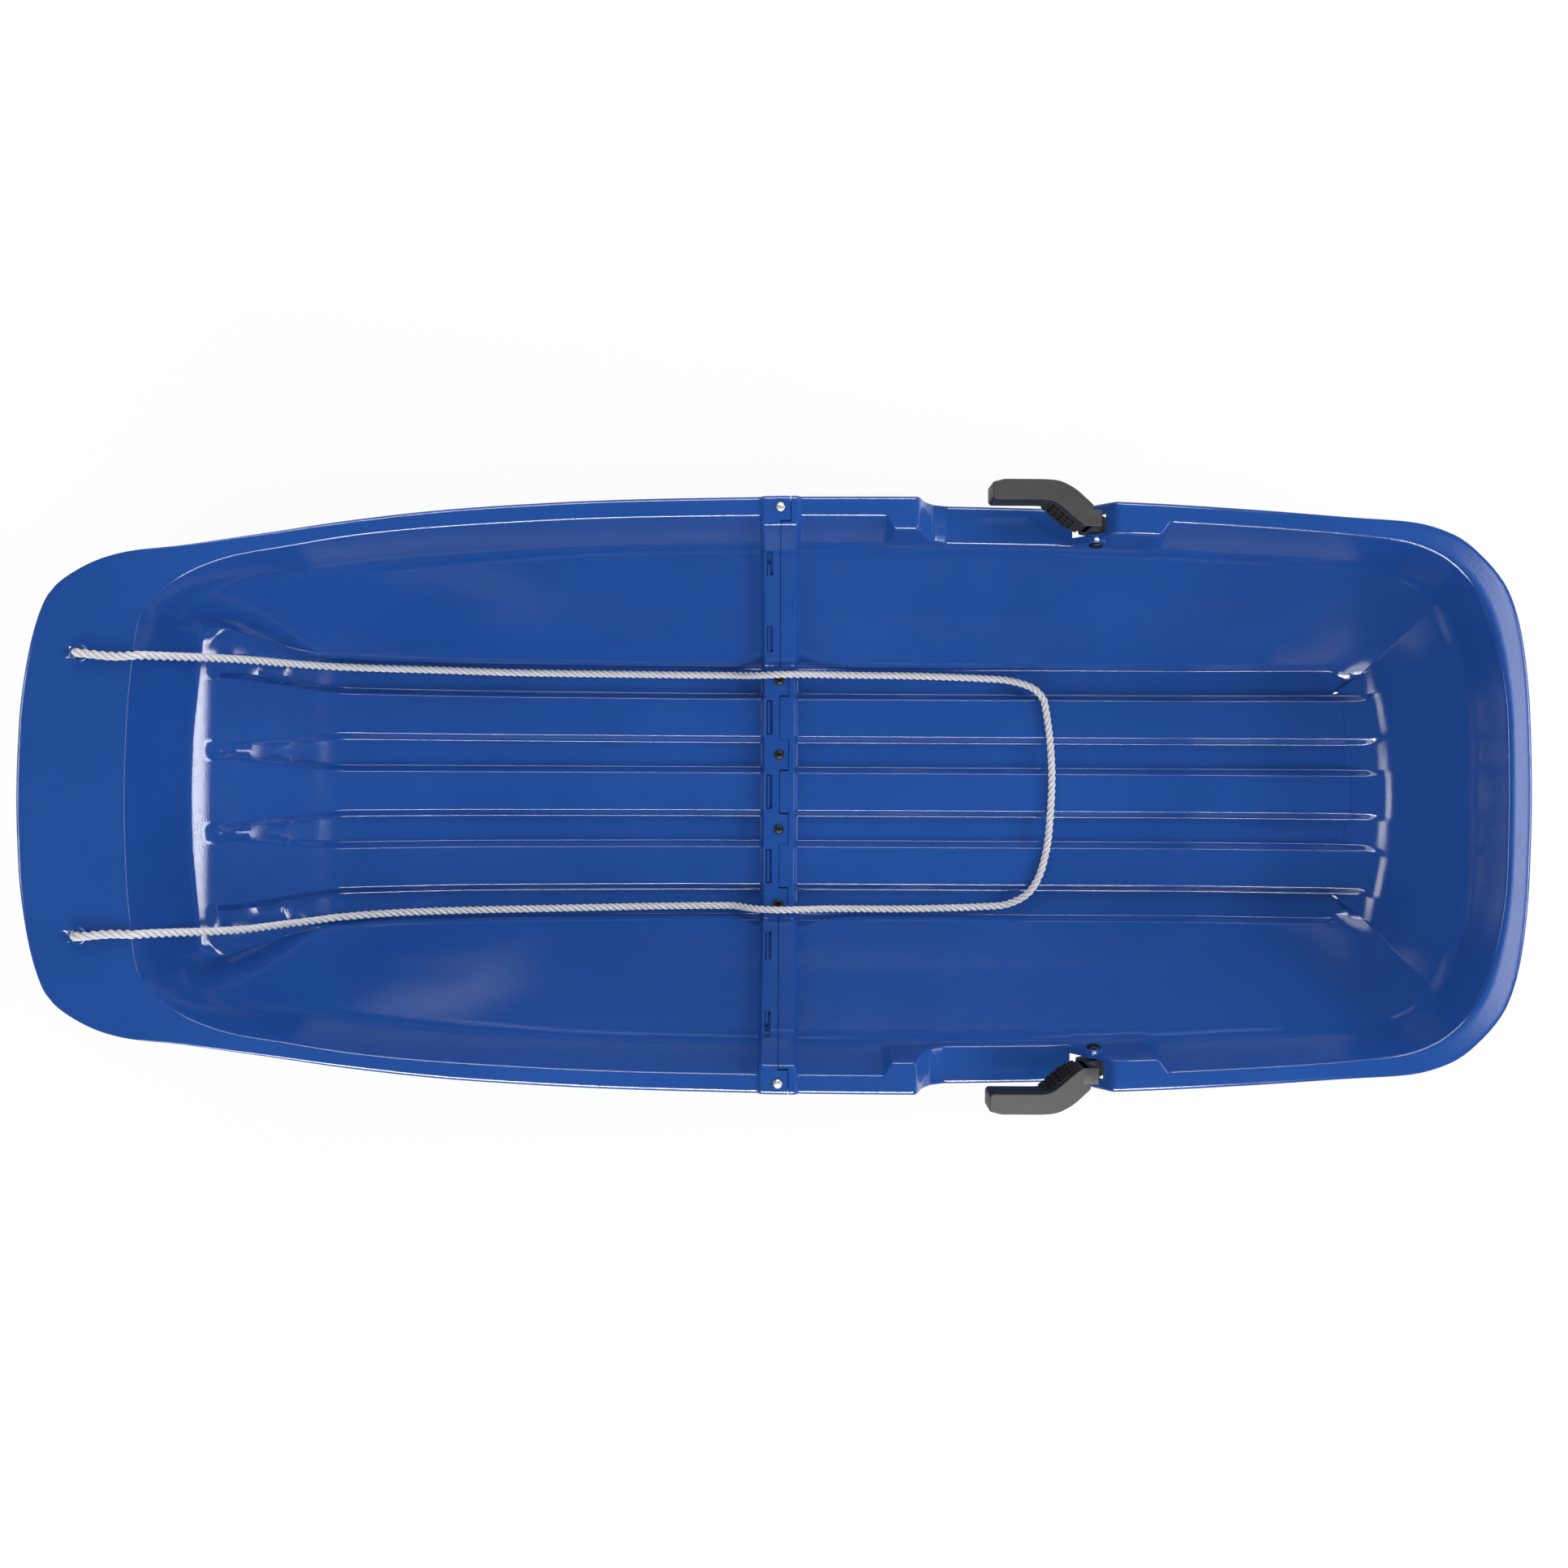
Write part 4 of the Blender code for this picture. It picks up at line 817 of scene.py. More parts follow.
class RearHalf(Half):
    """The tail half: lap and hook tabs under the front half, lever platforms and slots, hand pockets."""

    slot_less = TAB_CLEARANCE
    tongue_gap = GAP

    def kept_faces(self, patch):
        floor, wall = super().kept_faces(patch)
        run = middle(self.ring_distances())[:, None]
        column = np.arange(SECTION - 1)[None, :]
        wall &= ~((run > LEVER_SLOT[0]) & (run < LEVER_SLOT[1]) & (column == FLANGE))
        return floor, wall

    def rim_trim(self):
        return REAR_EDGE_TRIM - EDGE_TRIM_LESS * hump(self.ring_distances(), *SHARP_EDGE)

    def flange_points(self, inner, outer):
        made = super().flange_points(inner, outer)
        near = hump(self.ring_distances(), *SLOT_LINES)
        span = np.maximum(outer[:, 1] - inner[:, 1], LEAST_RIM)
        slot = []
        for points, y in zip(made, LEVER_SLOT_Y):
            share = (y - inner[:, 1]) / span
            slot.append(points + (inner + (outer - inner) * share[:, None] - points) * near[:, None])
        return slot

    def lap(self, patch):
        run = self.distances[:, None]
        y = patch[0, :, 1][None, :]
        under_tongue = (run < TONGUE_REACH + GAP / 2) & (aside_of_groove(y) < TONGUE_HALF + GAP / 2)
        floor = np.where((run < GAP / 2) | under_tongue, 1.0, 0.0)
        on_tab = (run > -TAB_FAR - GAP / 2) & (run < -TAB_NEAR + GAP / 2)
        floor = np.where(on_tab & (aside_of_land(y) < LAND_SLOT_HALF - TAB_CLEARANCE / 2), TAB_SHARE, floor)
        run = self.ring_distances()[:, None]
        column = np.arange(SECTION)[None, :]
        wall = np.where((run < GAP / 2) | ((run < TONGUE_REACH + GAP / 2) & (column >= FLANGE)), 1.0, 0.0)
        on_tab = (run > -TAB_FAR - GAP / 2) & (run < -TAB_NEAR + GAP / 2)
        in_span = np.isin(column, (LOWER_SPAN, LOWER_SPAN + 1, UPPER_SPAN, UPPER_SPAN + 1))
        return floor, np.where(on_tab & in_span, TAB_SHARE, wall)

    def groove_sizes(self, distance):
        """Half width of the mouth, half width of the bottom, and depth, at distances from the joint."""
        low, high = (share * TAIL_REACH for share in GROOVE_RUN_OUT)
        mouth = np.full_like(distance, GROOVE_MOUTH / 2)
        return mouth, mouth - GROOVE_SIDE, GROOVE_DEPTH * (1 - ramp(distance, low, high))

    def shape_platform(self, distance, inner, outer):
        """Sets the rim in along the lever platform, and drops it into the hand pocket by a table of shares.

        The table is blurred by the mean of nine shifts of it.
        """
        step = hump(distance, PLATFORM_RISE, PLATFORM_FALL)
        rows = [(0, 0), *((POCKET_START + run, share) for run, share in POCKET_SLOPE)]
        rows += [(POCKET_END, 1.0), (RAMP_END, 0.0), (1.0, 0.0)]
        blur = np.linspace(-0.0022, 0.0022, 9)
        drop = np.mean([np.interp(distance + shift, *zip(*rows)) for shift in blur], axis=0)
        inwards = PLATFORM_STEP * step + POCKET_DEPTH * drop * PLATFORM_DRAFT
        inner[:, 1] -= np.where(inner[:, 1] > SIDES_FROM, inwards, 0)
        inner[:, 2] -= POCKET_DEPTH * drop
        outer[:, 2] -= POCKET_DEPTH * drop


# Distances from the joint at which there are points, close together where a form changes
FRONT_DISTANCES = np.unique(np.concatenate([
    [-TONGUE_REACH, -0.006, -0.003, 0, 0.0035, SLOT_NEAR, 0.0085, SLOT_FAR, 0.0141],
    np.linspace(0.0147, 0.0185, 9), np.linspace(0.020, 0.040, 6), np.linspace(0.046, 0.38, 48),
    np.linspace(0.385, 0.50, 36), np.linspace(0.5025, 0.57, 28),
]))
REAR_DISTANCES = np.unique(np.concatenate([
    [-LAP_REACH, -TAB_FAR - GAP, -TAB_FAR, -TAB_NEAR, -TAB_NEAR + GAP, -0.005, 0, GAP, 0.004],
    [TONGUE_REACH, TONGUE_REACH + GAP, 0.0115, 0.0135, 0.0141],
    np.linspace(0.0147, 0.0185, 9), np.linspace(0.020, 0.086, 12), np.linspace(0.088, 0.102, 12),
    np.linspace(0.104, 0.118, 6), np.linspace(0.1195, 0.152, 24), np.linspace(0.156, 0.256, 26),
    [0.2585, LEVER_SLOT[0]], np.linspace(0.2625, 0.2822, 12), [LEVER_SLOT[1]],
    np.linspace(0.2854, 0.340, 26), np.linspace(0.346, 0.50, 26), np.linspace(0.505, 0.60, 30),
]))
FRONT = FrontHalf(
    NOSE_REACH - OUTLINE_TRIM, -1, NOSE_HEIGHT, TOE_RISE, FRONT_OUTLINE, 8, FRONT_RIM, FRONT_FLOOR,
    FRONT_DISTANCES, (FLOOR_FILLET, NOSE_FILLET),
)
REAR = RearHalf(
    TAIL_REACH - OUTLINE_TRIM, 1, TAIL_HEIGHT, HEEL_RISE, REAR_OUTLINE, 7, REAR_RIM, REAR_FLOOR,
    REAR_DISTANCES, (FLOOR_FILLET, TAIL_FILLET),
)


def both_sides(vertices, faces):
    """A half surface and its mirror image across the middle, whose faces turn the other way round."""
    other = vertices * np.array([1, -1, 1])
    return np.concatenate([vertices, other]), np.concatenate([faces, faces[:, ::-1] + len(vertices)])


def build_shell(name, half):
    """A half of the tub: floor and wall grids, their undersides a wall's thickness below, and the lap."""
    surfaces = [half.surface(lower) for lower in (0, WALL)]
    lap = half.lap(surfaces[0][0])
    if lap:
        under = [half.surface(lower) for lower in (LAP_DEPTH, LAP_DEPTH + WALL)]
        surfaces = [
            [plain + (low - plain) * share[..., None] for plain, low, share in zip(plains, lows, lap)]
            for plains, lows in zip(surfaces, under)
        ]
    patch, wall = surfaces[0]
    keep_floor, keep_wall = half.kept_faces(patch)
    floor_faces = quads(*patch.shape[:2])[keep_floor.ravel()]
    wall_faces = quads(*wall.shape[:2])[keep_wall.ravel()]
    faces = np.concatenate([floor_faces, wall_faces + patch.shape[0] * patch.shape[1]])
    if half.way > 0:
        faces = faces[:, ::-1]
    top, low = (np.concatenate([grid.reshape(-1, 3) for grid in pair]) for pair in surfaces)
    top_all, faces_all = both_sides(top, faces)
    low_all, _ = both_sides(low, faces)
    return closed_wall(name, top_all, low_all, faces_all, BLUE)


def bore_holes(shell, centres, radius, low, high, steps=48):
    """Upright holes through a shell, made by a Boolean with a round many-sided bar, which is then removed."""
    turn = full_turn(steps)
    for x, y in centres:
        rings = [
            np.column_stack([x + radius * np.cos(turn), y + radius * np.sin(turn), np.full(steps, height)])
            for height in (low, high)
        ]
        bar = mesh_piece("hole_bar", np.concatenate(rings), closed_rings(rings, 0), BLUE)
        cut = shell.modifiers.new("hole", "BOOLEAN")
        cut.object, cut.operation, cut.solver = bar, "DIFFERENCE", "EXACT"
        plain = shell.data
        result = shell.evaluated_get(bpy.context.evaluated_depsgraph_get())
        shell.data = bpy.data.meshes.new_from_object(result)
        shell.modifiers.clear()
        used = bar.data
        bpy.data.objects.remove(bar)
        bpy.data.meshes.remove(plain)
        bpy.data.meshes.remove(used)


for name, half in (("front_tub_shell", FRONT), ("rear_tub_shell", REAR)):
    shell = build_shell(name, half)
    if half is FRONT:
        holes = [(ROPE_HOLE[0], side * ROPE_HOLE[1]) for side in (1, -1)]
        bore_holes(shell, holes, ROPE_BORE, *HOLE_CUT)
    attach(shell, "sled")
    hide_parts(name.replace("_tub", ""))


# Rope

def rope_line(route, step):
    """Points at even steps along the smooth curve through a route, and the curve's length.

    A route point's place on the curve is the straight length so far.
    """
    route = np.array(route)
    runs = np.concatenate([[0], np.cumsum(np.linalg.norm(np.diff(route, axis=0), axis=1))])
    table = np.column_stack([runs, route])
    fine = smooth_table(table, np.linspace(0, runs[-1], 6000))
    length = np.concatenate([[0], np.cumsum(np.linalg.norm(np.diff(fine, axis=0), axis=1))])
    count = int(length[-1] / step)
    even = np.linspace(0, length[-1], count + 1)
    return np.stack([np.interp(even, length, fine[:, axis]) for axis in range(3)], axis=1), length[-1]


def carried_frames(line):
    """A direction square to the line at each point, carried along it with as little turn as possible."""
    tangents = np.gradient(line, axis=0)
    tangents /= np.linalg.norm(tangents, axis=1, keepdims=True)
    side = np.cross(tangents[0], [0.3, 0.9, 0.1])
    sides = []
    for tangent in tangents:
        side = side - tangent * side.dot(tangent)
        side = side / np.linalg.norm(side)
        sides.append(side)
    sides = np.array(sides)
    return sides, np.cross(tangents, sides)


def build_rope(name, line, diameter, lay, steps=30):
    """Three laid strands as one surface: the outline of three round strands that turns once a lay.

    The radius at an angle off the nearest strand's middle is the far crossing of a ray with that strand.
    """
    sides, ups = carried_frames(line)
    run = np.concatenate([[0], np.cumsum(np.linalg.norm(np.diff(line, axis=0), axis=1))])
    strand = diameter * STRAND_SHARE
    centre = diameter / 2 - strand
    turn = full_turn(steps)
    off = (turn + math.pi / 3) % (2 * math.pi / 3) - math.pi / 3
    reach = centre * np.cos(off) + np.sqrt(np.maximum(strand**2 - (centre * np.sin(off)) ** 2, 0))
    reach = np.maximum(reach, diameter * CORE_SHARE)
    angle = turn[None, :] + run[:, None] / lay * 2 * math.pi
    across = np.cos(angle)[..., None] * sides[:, None] + np.sin(angle)[..., None] * ups[:, None]
    points = line[:, None] + across * reach[None, :, None]
    rows, columns = points.shape[:2]
    vertices = np.concatenate([points.reshape(-1, 3), line[:1], line[-1:]])
    ends = len(vertices) - 2
    last = (rows - 1) * columns
    cap = [[ends, (k + 1) % columns, k] for k in range(columns)]
    cap += [[ends + 1, last + k, last + (k + 1) % columns] for k in range(columns)]
    piece = mesh_piece(name, vertices, ring_faces(rows, columns).tolist() + cap, FIBRE, 80)
    # Painted shade: an attribute per point, 1 in the valleys between strands, that greys the fibre there.
    valley_shade = piece.data.attributes.new("valley_shade", "FLOAT", "POINT")
    depth = np.clip((np.abs(off) / (math.pi / 3) - VALLEY_SHADE_FROM) / (1 - VALLEY_SHADE_FROM), 0, 1) ** 1.5
    valley_shade.data.foreach_set("value", np.append(np.tile(depth, rows), [0, 0]))
    layer = piece.data.uv_layers.new(name="lay")
    corners = np.empty(len(piece.data.loops), dtype=np.int64)
    piece.data.loops.foreach_get("vertex_index", corners)
    around = np.append(np.tile(off / (2 * math.pi / 3) * THREAD_UNITS, rows), [0, 0])[corners]
    length = np.append(np.repeat(run / THREAD_RUN, columns), [0, 0])[corners]
    layer.data.foreach_set("uv", np.stack([around + length * THREAD_SLANT, length], axis=1).ravel())
    return piece


line, rope_length = rope_line(ROPE_ROUTE, ROPE_STEP)
rope = build_rope("laid_pull_rope", line, ROPE_DIAMETER, ROPE_LAY)
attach(rope, "sled")
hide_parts("pull_rope")


def build_knot(name, side):
    """A stopper knot under the deck: a trefoil of thinner rope that goes twice round an upright axis.

    Its radius follows the cosine of three times the angle, and its height the sine of three times the angle.
    """
    t = np.linspace(0, 2 * math.pi, 120, endpoint=False)
    out = KNOT_RADIUS + KNOT_SWING * np.cos(3 * t)
    shape = np.stack([out * np.cos(2 * t), out * np.sin(2 * t), KNOT_RISE * np.sin(3 * t)], axis=1)
    centre = np.array([ROPE_HOLE[0], side * ROPE_HOLE[1], KNOT_HEIGHT])
    path = np.concatenate([shape, shape[:1]]) + centre
    return build_rope(name, path, KNOT_ROPE, KNOT_LAY, 18)


for hand, side in (("right", 1), ("left", -1)):
    knot = build_knot(f"stopper_knot_{hand}", side)
    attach(knot, "sled")
    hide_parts(f"rope_knot_{hand}")


# Levers, in metres and degrees

HUB_RADIUS = 0.0095
HUB_WIDTH = 0.014
GRIP_LENGTH = 0.098
GRIP_WIDTH = 0.016
GRIP_HEIGHT = 0.025
GRIP_LIFT = 0.011
GRIP_INSIDE = 0.256
CLAW_REACH = 0.128
CLAW_ANGLE = 35.6
# Edge rounds of the grip and of the rest of the lever
GRIP_EDGE = 0.0009
ARM_EDGE = 0.0004
# Grip from above: shares of its length and width, and how far each corner is trimmed, in millimetres
GRIP_OUTLINE = (
    (-0.122, -1.5625, 1.0), (-0.20, -1.5625, 2.0), (-0.265, -1.25, 5.0), (-0.38, -0.64, 5.0),
    (-0.46, -0.26, 5.0), (-0.54, -0.17, 5.0), (-0.98, -0.17, 1.5), (-1.0, -0.02, 1.5), (-1.0, 0.78, 1.0),
    (-0.90, 0.94, 1.0), (-0.52, 0.94, 9.0), (-0.40, 0.85, 8.0), (-0.27, 0.40, 6.0), (-0.122, -0.44, 1.5),
)
# Upright and claw from the side: shares of the hub's radius, then of the claw's reach and of the hub's radius
UPRIGHT_OUTLINE = (
    (-0.62, -0.80, 1.5), (-1.60, -0.20, 3.0), (-2.05, 1.30, 5.0), (-2.0, 3.79, 0.8), (-0.53, 3.79, 0.8),
    (-0.53, 2.98, 0.8), (-1.20, 2.16, 0.8), (-0.55, 1.33, 2.0), (0.40, 0.92, 3.0),
)
CLAW_OUTLINE = (
    (0.05, 0.90, 4.0), (0.72, 0.72, 8.0), (0.88, 0.75, 5.0), (1.0, -0.30, 3.0), (0.93, -1.25, 0.6),
    (0.86, -0.62, 3.0), (0.05, -0.90, 3.0),
)
# Shelves on the inside of the lever's bend: height over the grip's underside, and reach
SHELVES = ((0.0008, 0.0062), (0.0072, 0.0050), (0.0136, 0.0036), (0.0196, 0.0018))
SHELF_THICKNESS = 0.0012
SHELF_EDGE = 0.0001
RIB_HALF = 0.0006
RIB_SHARE = 0.85
# How far shelves and ribs go into the grip
ROOT = 0.002
# The shelves' edges are notched: how many notches, and how deep, as a share of the reach
NOTCHES = 6
NOTCH_DEPTH = 0.3


def rounded_loop(points, trims, count=4):
    """A closed outline of points in a plane, whose corners are Bezier arcs."""
    points = np.asarray(points)
    closed = np.concatenate([points[-1:], points, points[:1]])[:, None]
    return np.concatenate([np.stack(arc) for arc in rounded(closed, trims, [count] * len(points))])[:, 0]


def shrunk(loop, amount):
    """An outline moved inwards by a distance, square to its own edges."""
    ahead = np.roll(loop, -1, axis=0) - loop
    length = np.maximum(np.linalg.norm(ahead, axis=1, keepdims=True), 1e-9)
    normals = np.stack([-ahead[:, 1], ahead[:, 0]], axis=1) / length
    mean = normals + np.roll(normals, 1, axis=0)
    mean /= np.maximum(np.linalg.norm(mean, axis=1, keepdims=True), 1e-9)
    area = (loop[:, 0] * np.roll(loop[:, 1], -1) - np.roll(loop[:, 0], -1) * loop[:, 1]).sum()
    return loop + mean * amount * (1 if area > 0 else -1)


def soft_prism(loop, low, high, edge, steps=3):
    """An outline carried from low to high, as rings of points, whose two rims are quarter rounds."""
    turns = np.linspace(0, math.pi / 2, steps + 1)
    levels = [(low + edge * (1 - math.cos(t)), edge * (1 - math.sin(t))) for t in turns]
    levels += [(high - edge * (1 - math.sin(t)), edge * (1 - math.cos(t))) for t in turns]
    return [np.column_stack([shrunk(loop, inset), np.full(len(loop), level)]) for level, inset in levels]


def inside_of_bend(grip, count=29):
    """Points along the inside of the grip's bend, the direction square to it, and each point's share."""
    corners = grip[1:6][::-1]
    run = np.concatenate([[0], np.cumsum(np.linalg.norm(np.diff(corners, axis=0), axis=1))])
    shares = np.linspace(0.03, 0.97, count)
    path = np.stack([np.interp(shares * run[-1], run, corners[:, axis]) for axis in (0, 1)], axis=1)
    ahead = np.gradient(path, axis=0)
    ahead /= np.linalg.norm(ahead, axis=1, keepdims=True)
    return path, np.stack([ahead[:, 1], -ahead[:, 0]], axis=1), shares


def lever_parts(side):
    """The lofts of one lever: grip bar, upright with hub and claw, and shelves and ribs inside the bend.

    A prism is an outline in x and y carried along z, from above, or in x and z carried across, from the side.
    """
    def from_above(rings):
        return [ring * (1, side, 1) + (PIVOT[0], side * GRIP_INSIDE, PIVOT[2] + GRIP_LIFT) for ring in rings]

    def from_side(rings):
        return [ring[:, [0, 2, 1]] * (1, side, 1) + (PIVOT[0], side * PIVOT[1], PIVOT[2]) for ring in rings]

    grip = np.array([(x * GRIP_LENGTH, y * GRIP_WIDTH) for x, y, _ in GRIP_OUTLINE])
    loop = rounded_loop(grip, [trim / 1000 for _, _, trim in GRIP_OUTLINE])
    parts = [from_above(soft_prism(loop, 0.0, GRIP_HEIGHT, GRIP_EDGE))]
    angle = math.radians(CLAW_ANGLE)
    arm = np.array([math.cos(angle), -math.sin(angle)])
    across = np.array([math.sin(angle), math.cos(angle)])
    outline = [np.array([x, z]) * HUB_RADIUS for x, z, _ in UPRIGHT_OUTLINE]
    outline += [arm * run * CLAW_REACH + across * out * HUB_RADIUS for run, out, _ in CLAW_OUTLINE]
    trims = [trim / 1000 for *_, trim in (*UPRIGHT_OUTLINE, *CLAW_OUTLINE)]
    parts.append(from_side(soft_prism(rounded_loop(outline, trims), 0.0, HUB_WIDTH, ARM_EDGE)))
    path, away, shares = inside_of_bend(grip)
    swell = np.sqrt(np.sin(shares * math.pi))[:, None]
    notched = 1 - NOTCH_DEPTH + NOTCH_DEPTH * ((shares * NOTCHES) % 1)[:, None]
    for level, reach in SHELVES:
        edge = path + away * reach * swell * notched
        shelf = np.concatenate([path - away * ROOT, edge[::-1]])
        parts.append(from_above(soft_prism(shelf, level, level + SHELF_THICKNESS, SHELF_EDGE, 1)))
    for index in range(3, len(path) - 3, 4):
        at, out = path[index], away[index]
        along = np.array([out[1], -out[0]]) * RIB_HALF
        root = at - out * ROOT
        for (level, reach), (above, _) in zip(SHELVES[:-1], SHELVES[1:]):
            far = at + out * reach * RIB_SHARE * swell[index]
            rib = np.stack([root - along, far - along, far + along, root + along])
            parts.append(from_above(soft_prism(rib, level + SHELF_THICKNESS / 2, above, SHELF_EDGE, 1)))
    return parts


for hand, side in (("right", 1), ("left", -1)):
    lever = solid_of(f"brake_lever_moulding_{hand}", lever_parts(side), CHARCOAL, 30)
    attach(lever, f"brake_{hand}")
    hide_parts(f"brake_lever_{hand}")


# Screws

# Radius of the head and of the shank
FLOOR_SCREW = (0.00455, 0.0020)
RIM_SCREW = (0.0042, 0.0018)
PIVOT_BOLT = (0.0060, 0.0030)
PIVOT_HEAD_HEIGHT = 0.0034
# From the inner end of the bolt to the seat of its head
PIVOT_SEAT = 0.0036
# Keeps a head clear of the face that it sits on
SEAT_GAP = 0.0001
# Shares of the head's height that are its upright rim and its dome
HEAD_RIM = 0.25
HEAD_DOME = 0.75
# Cross recess: where its half width and half length end, as shares of the head's radius, and its depth
RECESS_WIDTH = (0.09, 0.15)
RECESS_LENGTH = (0.50, 0.62)
RECESS_DEPTH = 0.55


def screw_rings(sizes, height, length, recess, steps=48):
    """A domed head over a plain shank: rings round Z from the tip of the shank to the crown.

    The dome is a flattened half circle. The recess lowers it where a point is near either line of a cross.
    """
    head, shank = sizes
    turn = full_turn(steps)
    tip = shank * 0.4 - length
    profile = [(shank * 0.7, -length), (shank, tip), (shank, 0.0), (head, 0.0), (head, height * HEAD_RIM)]
    for share in np.linspace(0.97, 0.02, 14):
        dome = math.sqrt(1 - share**2 * 0.96)
        profile.append((head * share, height * (HEAD_RIM + HEAD_DOME * dome)))
    rings = []
    for radius, level in profile:
        x, y = radius * np.cos(turn), radius * np.sin(turn)
        drop = np.zeros(steps)
        if recess and level > height * 0.4:
            near = np.minimum(np.abs(x), np.abs(y))
            drop += height * RECESS_DEPTH
            drop *= 1 - ramp(near, *(head * share for share in RECESS_WIDTH))
            drop *= 1 - ramp(radius, *(head * share for share in RECESS_LENGTH))
        rings.append(np.column_stack([x, y, level - drop]))
    return rings


def add_screw(name, node_name, material, rings, origin, side=0):
    """A screw at its place: along Z, or where a side is given, with its head towards the tub's middle."""
    if side:
        rings = [np.column_stack([ring[:, 0], -side * ring[:, 2], ring[:, 1]]) for ring in rings]
    piece = solid_of(name, [[ring + np.asarray(origin) for ring in rings]], material, 50)
    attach(piece, "sled")
    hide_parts(node_name)


def add_seam_screw(name, node_name, material, sizes, seat, recess):
    """An upright screw on the ridge, from the tip to the crown of its solid, with its head on a seat."""
    low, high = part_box(node_name)
    rings = screw_rings(sizes, high[2] - seat, seat - low[2], recess)
    add_screw(name, node_name, material, rings, (SEAM_X, (low[1] + high[1]) / 2, seat))


floor_seat = FLOOR_TOP + RIDGE_RISE + SEAT_GAP
rim_seat = RIM_HEIGHT + RIM_RIDGE_RISE + SEAT_GAP
for number in range(1, 5):
    add_seam_screw(
        f"ridge_screw_{number}", f"floor_screw_{number}", BLACK, FLOOR_SCREW, floor_seat, True,
    )
for hand, side in (("right", 1), ("left", -1)):
    add_seam_screw(
        f"rim_rivet_{hand}", f"rim_screw_{hand}", BRIGHT, RIM_SCREW, rim_seat, False,
    )
    low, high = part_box(f"pivot_bolt_{hand}")
    near, far = sorted((abs(low[1]), abs(high[1])))
    rings = screw_rings(PIVOT_BOLT, PIVOT_HEAD_HEIGHT, far - near - PIVOT_SEAT, False)
    centre = ((low[0] + high[0]) / 2, side * (near + PIVOT_SEAT), (low[2] + high[2]) / 2)
    add_screw(f"lever_pivot_bolt_{hand}", f"pivot_bolt_{hand}", BLACK, rings, centre, side)


# Raised rings round the rope's holes in the nose deck, and the cones that carry the lever bolts' heads

# Ring from its bore over a low bead and back under the deck: radius, height over the deck
HOLE_RING_PROFILE = (
    (ROPE_BORE, -0.0050), (ROPE_BORE, 0.0002), (0.0046, 0.0007), (0.0052, 0.0009), (0.0064, 0.0009),
    (0.0072, 0.0006), (0.0078, -0.0004), (0.0078, -0.0018), (0.0052, -0.0050),
)
# The deck's top is straight from this share of the reach to the nose
DECK_SHARE = 0.858
# Cone from its bore over the face to the foot in the wall: radius, distance from the middle of the tub
PIVOT_CONE_PROFILE = (
    (0.0034, 0.2226), (0.0076, 0.2226), (0.0080, 0.2229), (0.0098, 0.2298), (0.0034, 0.2298),
)


def add_turned_ring(name, rows):
    """A closed ring on the tub, from the circles that its profile's points make."""
    points = np.stack(rows)
    piece = mesh_piece(name, points.reshape(-1, 3), ring_faces(*points.shape[:2], wrap=True), BLUE, 50)
    outward(piece)
    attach(piece, "sled")


def hole_ring_rows(side, steps=64):
    """Circles of the ring round a rope's hole, each on the slope of the deck."""
    turn = full_turn(steps)
    low = FRONT.rim(np.array([DECK_SHARE]))[0]
    rows = []
    for radius, level in HOLE_RING_PROFILE:
        x = ROPE_HOLE[0] + radius * np.cos(turn)
        share = (SEAM_X - x) / NOSE_REACH
        deck = low + (NOSE_HEIGHT - low) * (share - DECK_SHARE) / (1 - DECK_SHARE)
        rows.append(np.column_stack([x, side * ROPE_HOLE[1] + radius * np.sin(turn), deck + level]))
    return rows


def pivot_cone_rows(side, steps=64):
    """Circles of the cone under a lever bolt's head, round an axis across the tub."""
    turn = full_turn(steps)
    rows = []
    for radius, y in PIVOT_CONE_PROFILE:
        x, z = PIVOT[0] + radius * np.cos(turn), PIVOT[2] + radius * np.sin(turn)
        rows.append(np.column_stack([x, np.full(steps, side * y), z]))
    return rows


for hand, side in (("right", 1), ("left", -1)):
    add_turned_ring(f"rope_hole_ring_{hand}", hole_ring_rows(side))
    add_turned_ring(f"lever_pivot_cone_{hand}", pivot_cone_rows(side))


# Finishes of the solids that stay as they are
for node_name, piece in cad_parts.items():
    if "_nut_" in node_name or "washer" in node_name:
        piece.data.materials.clear()
        piece.data.materials.append(BRIGHT)


# Floor, light and camera

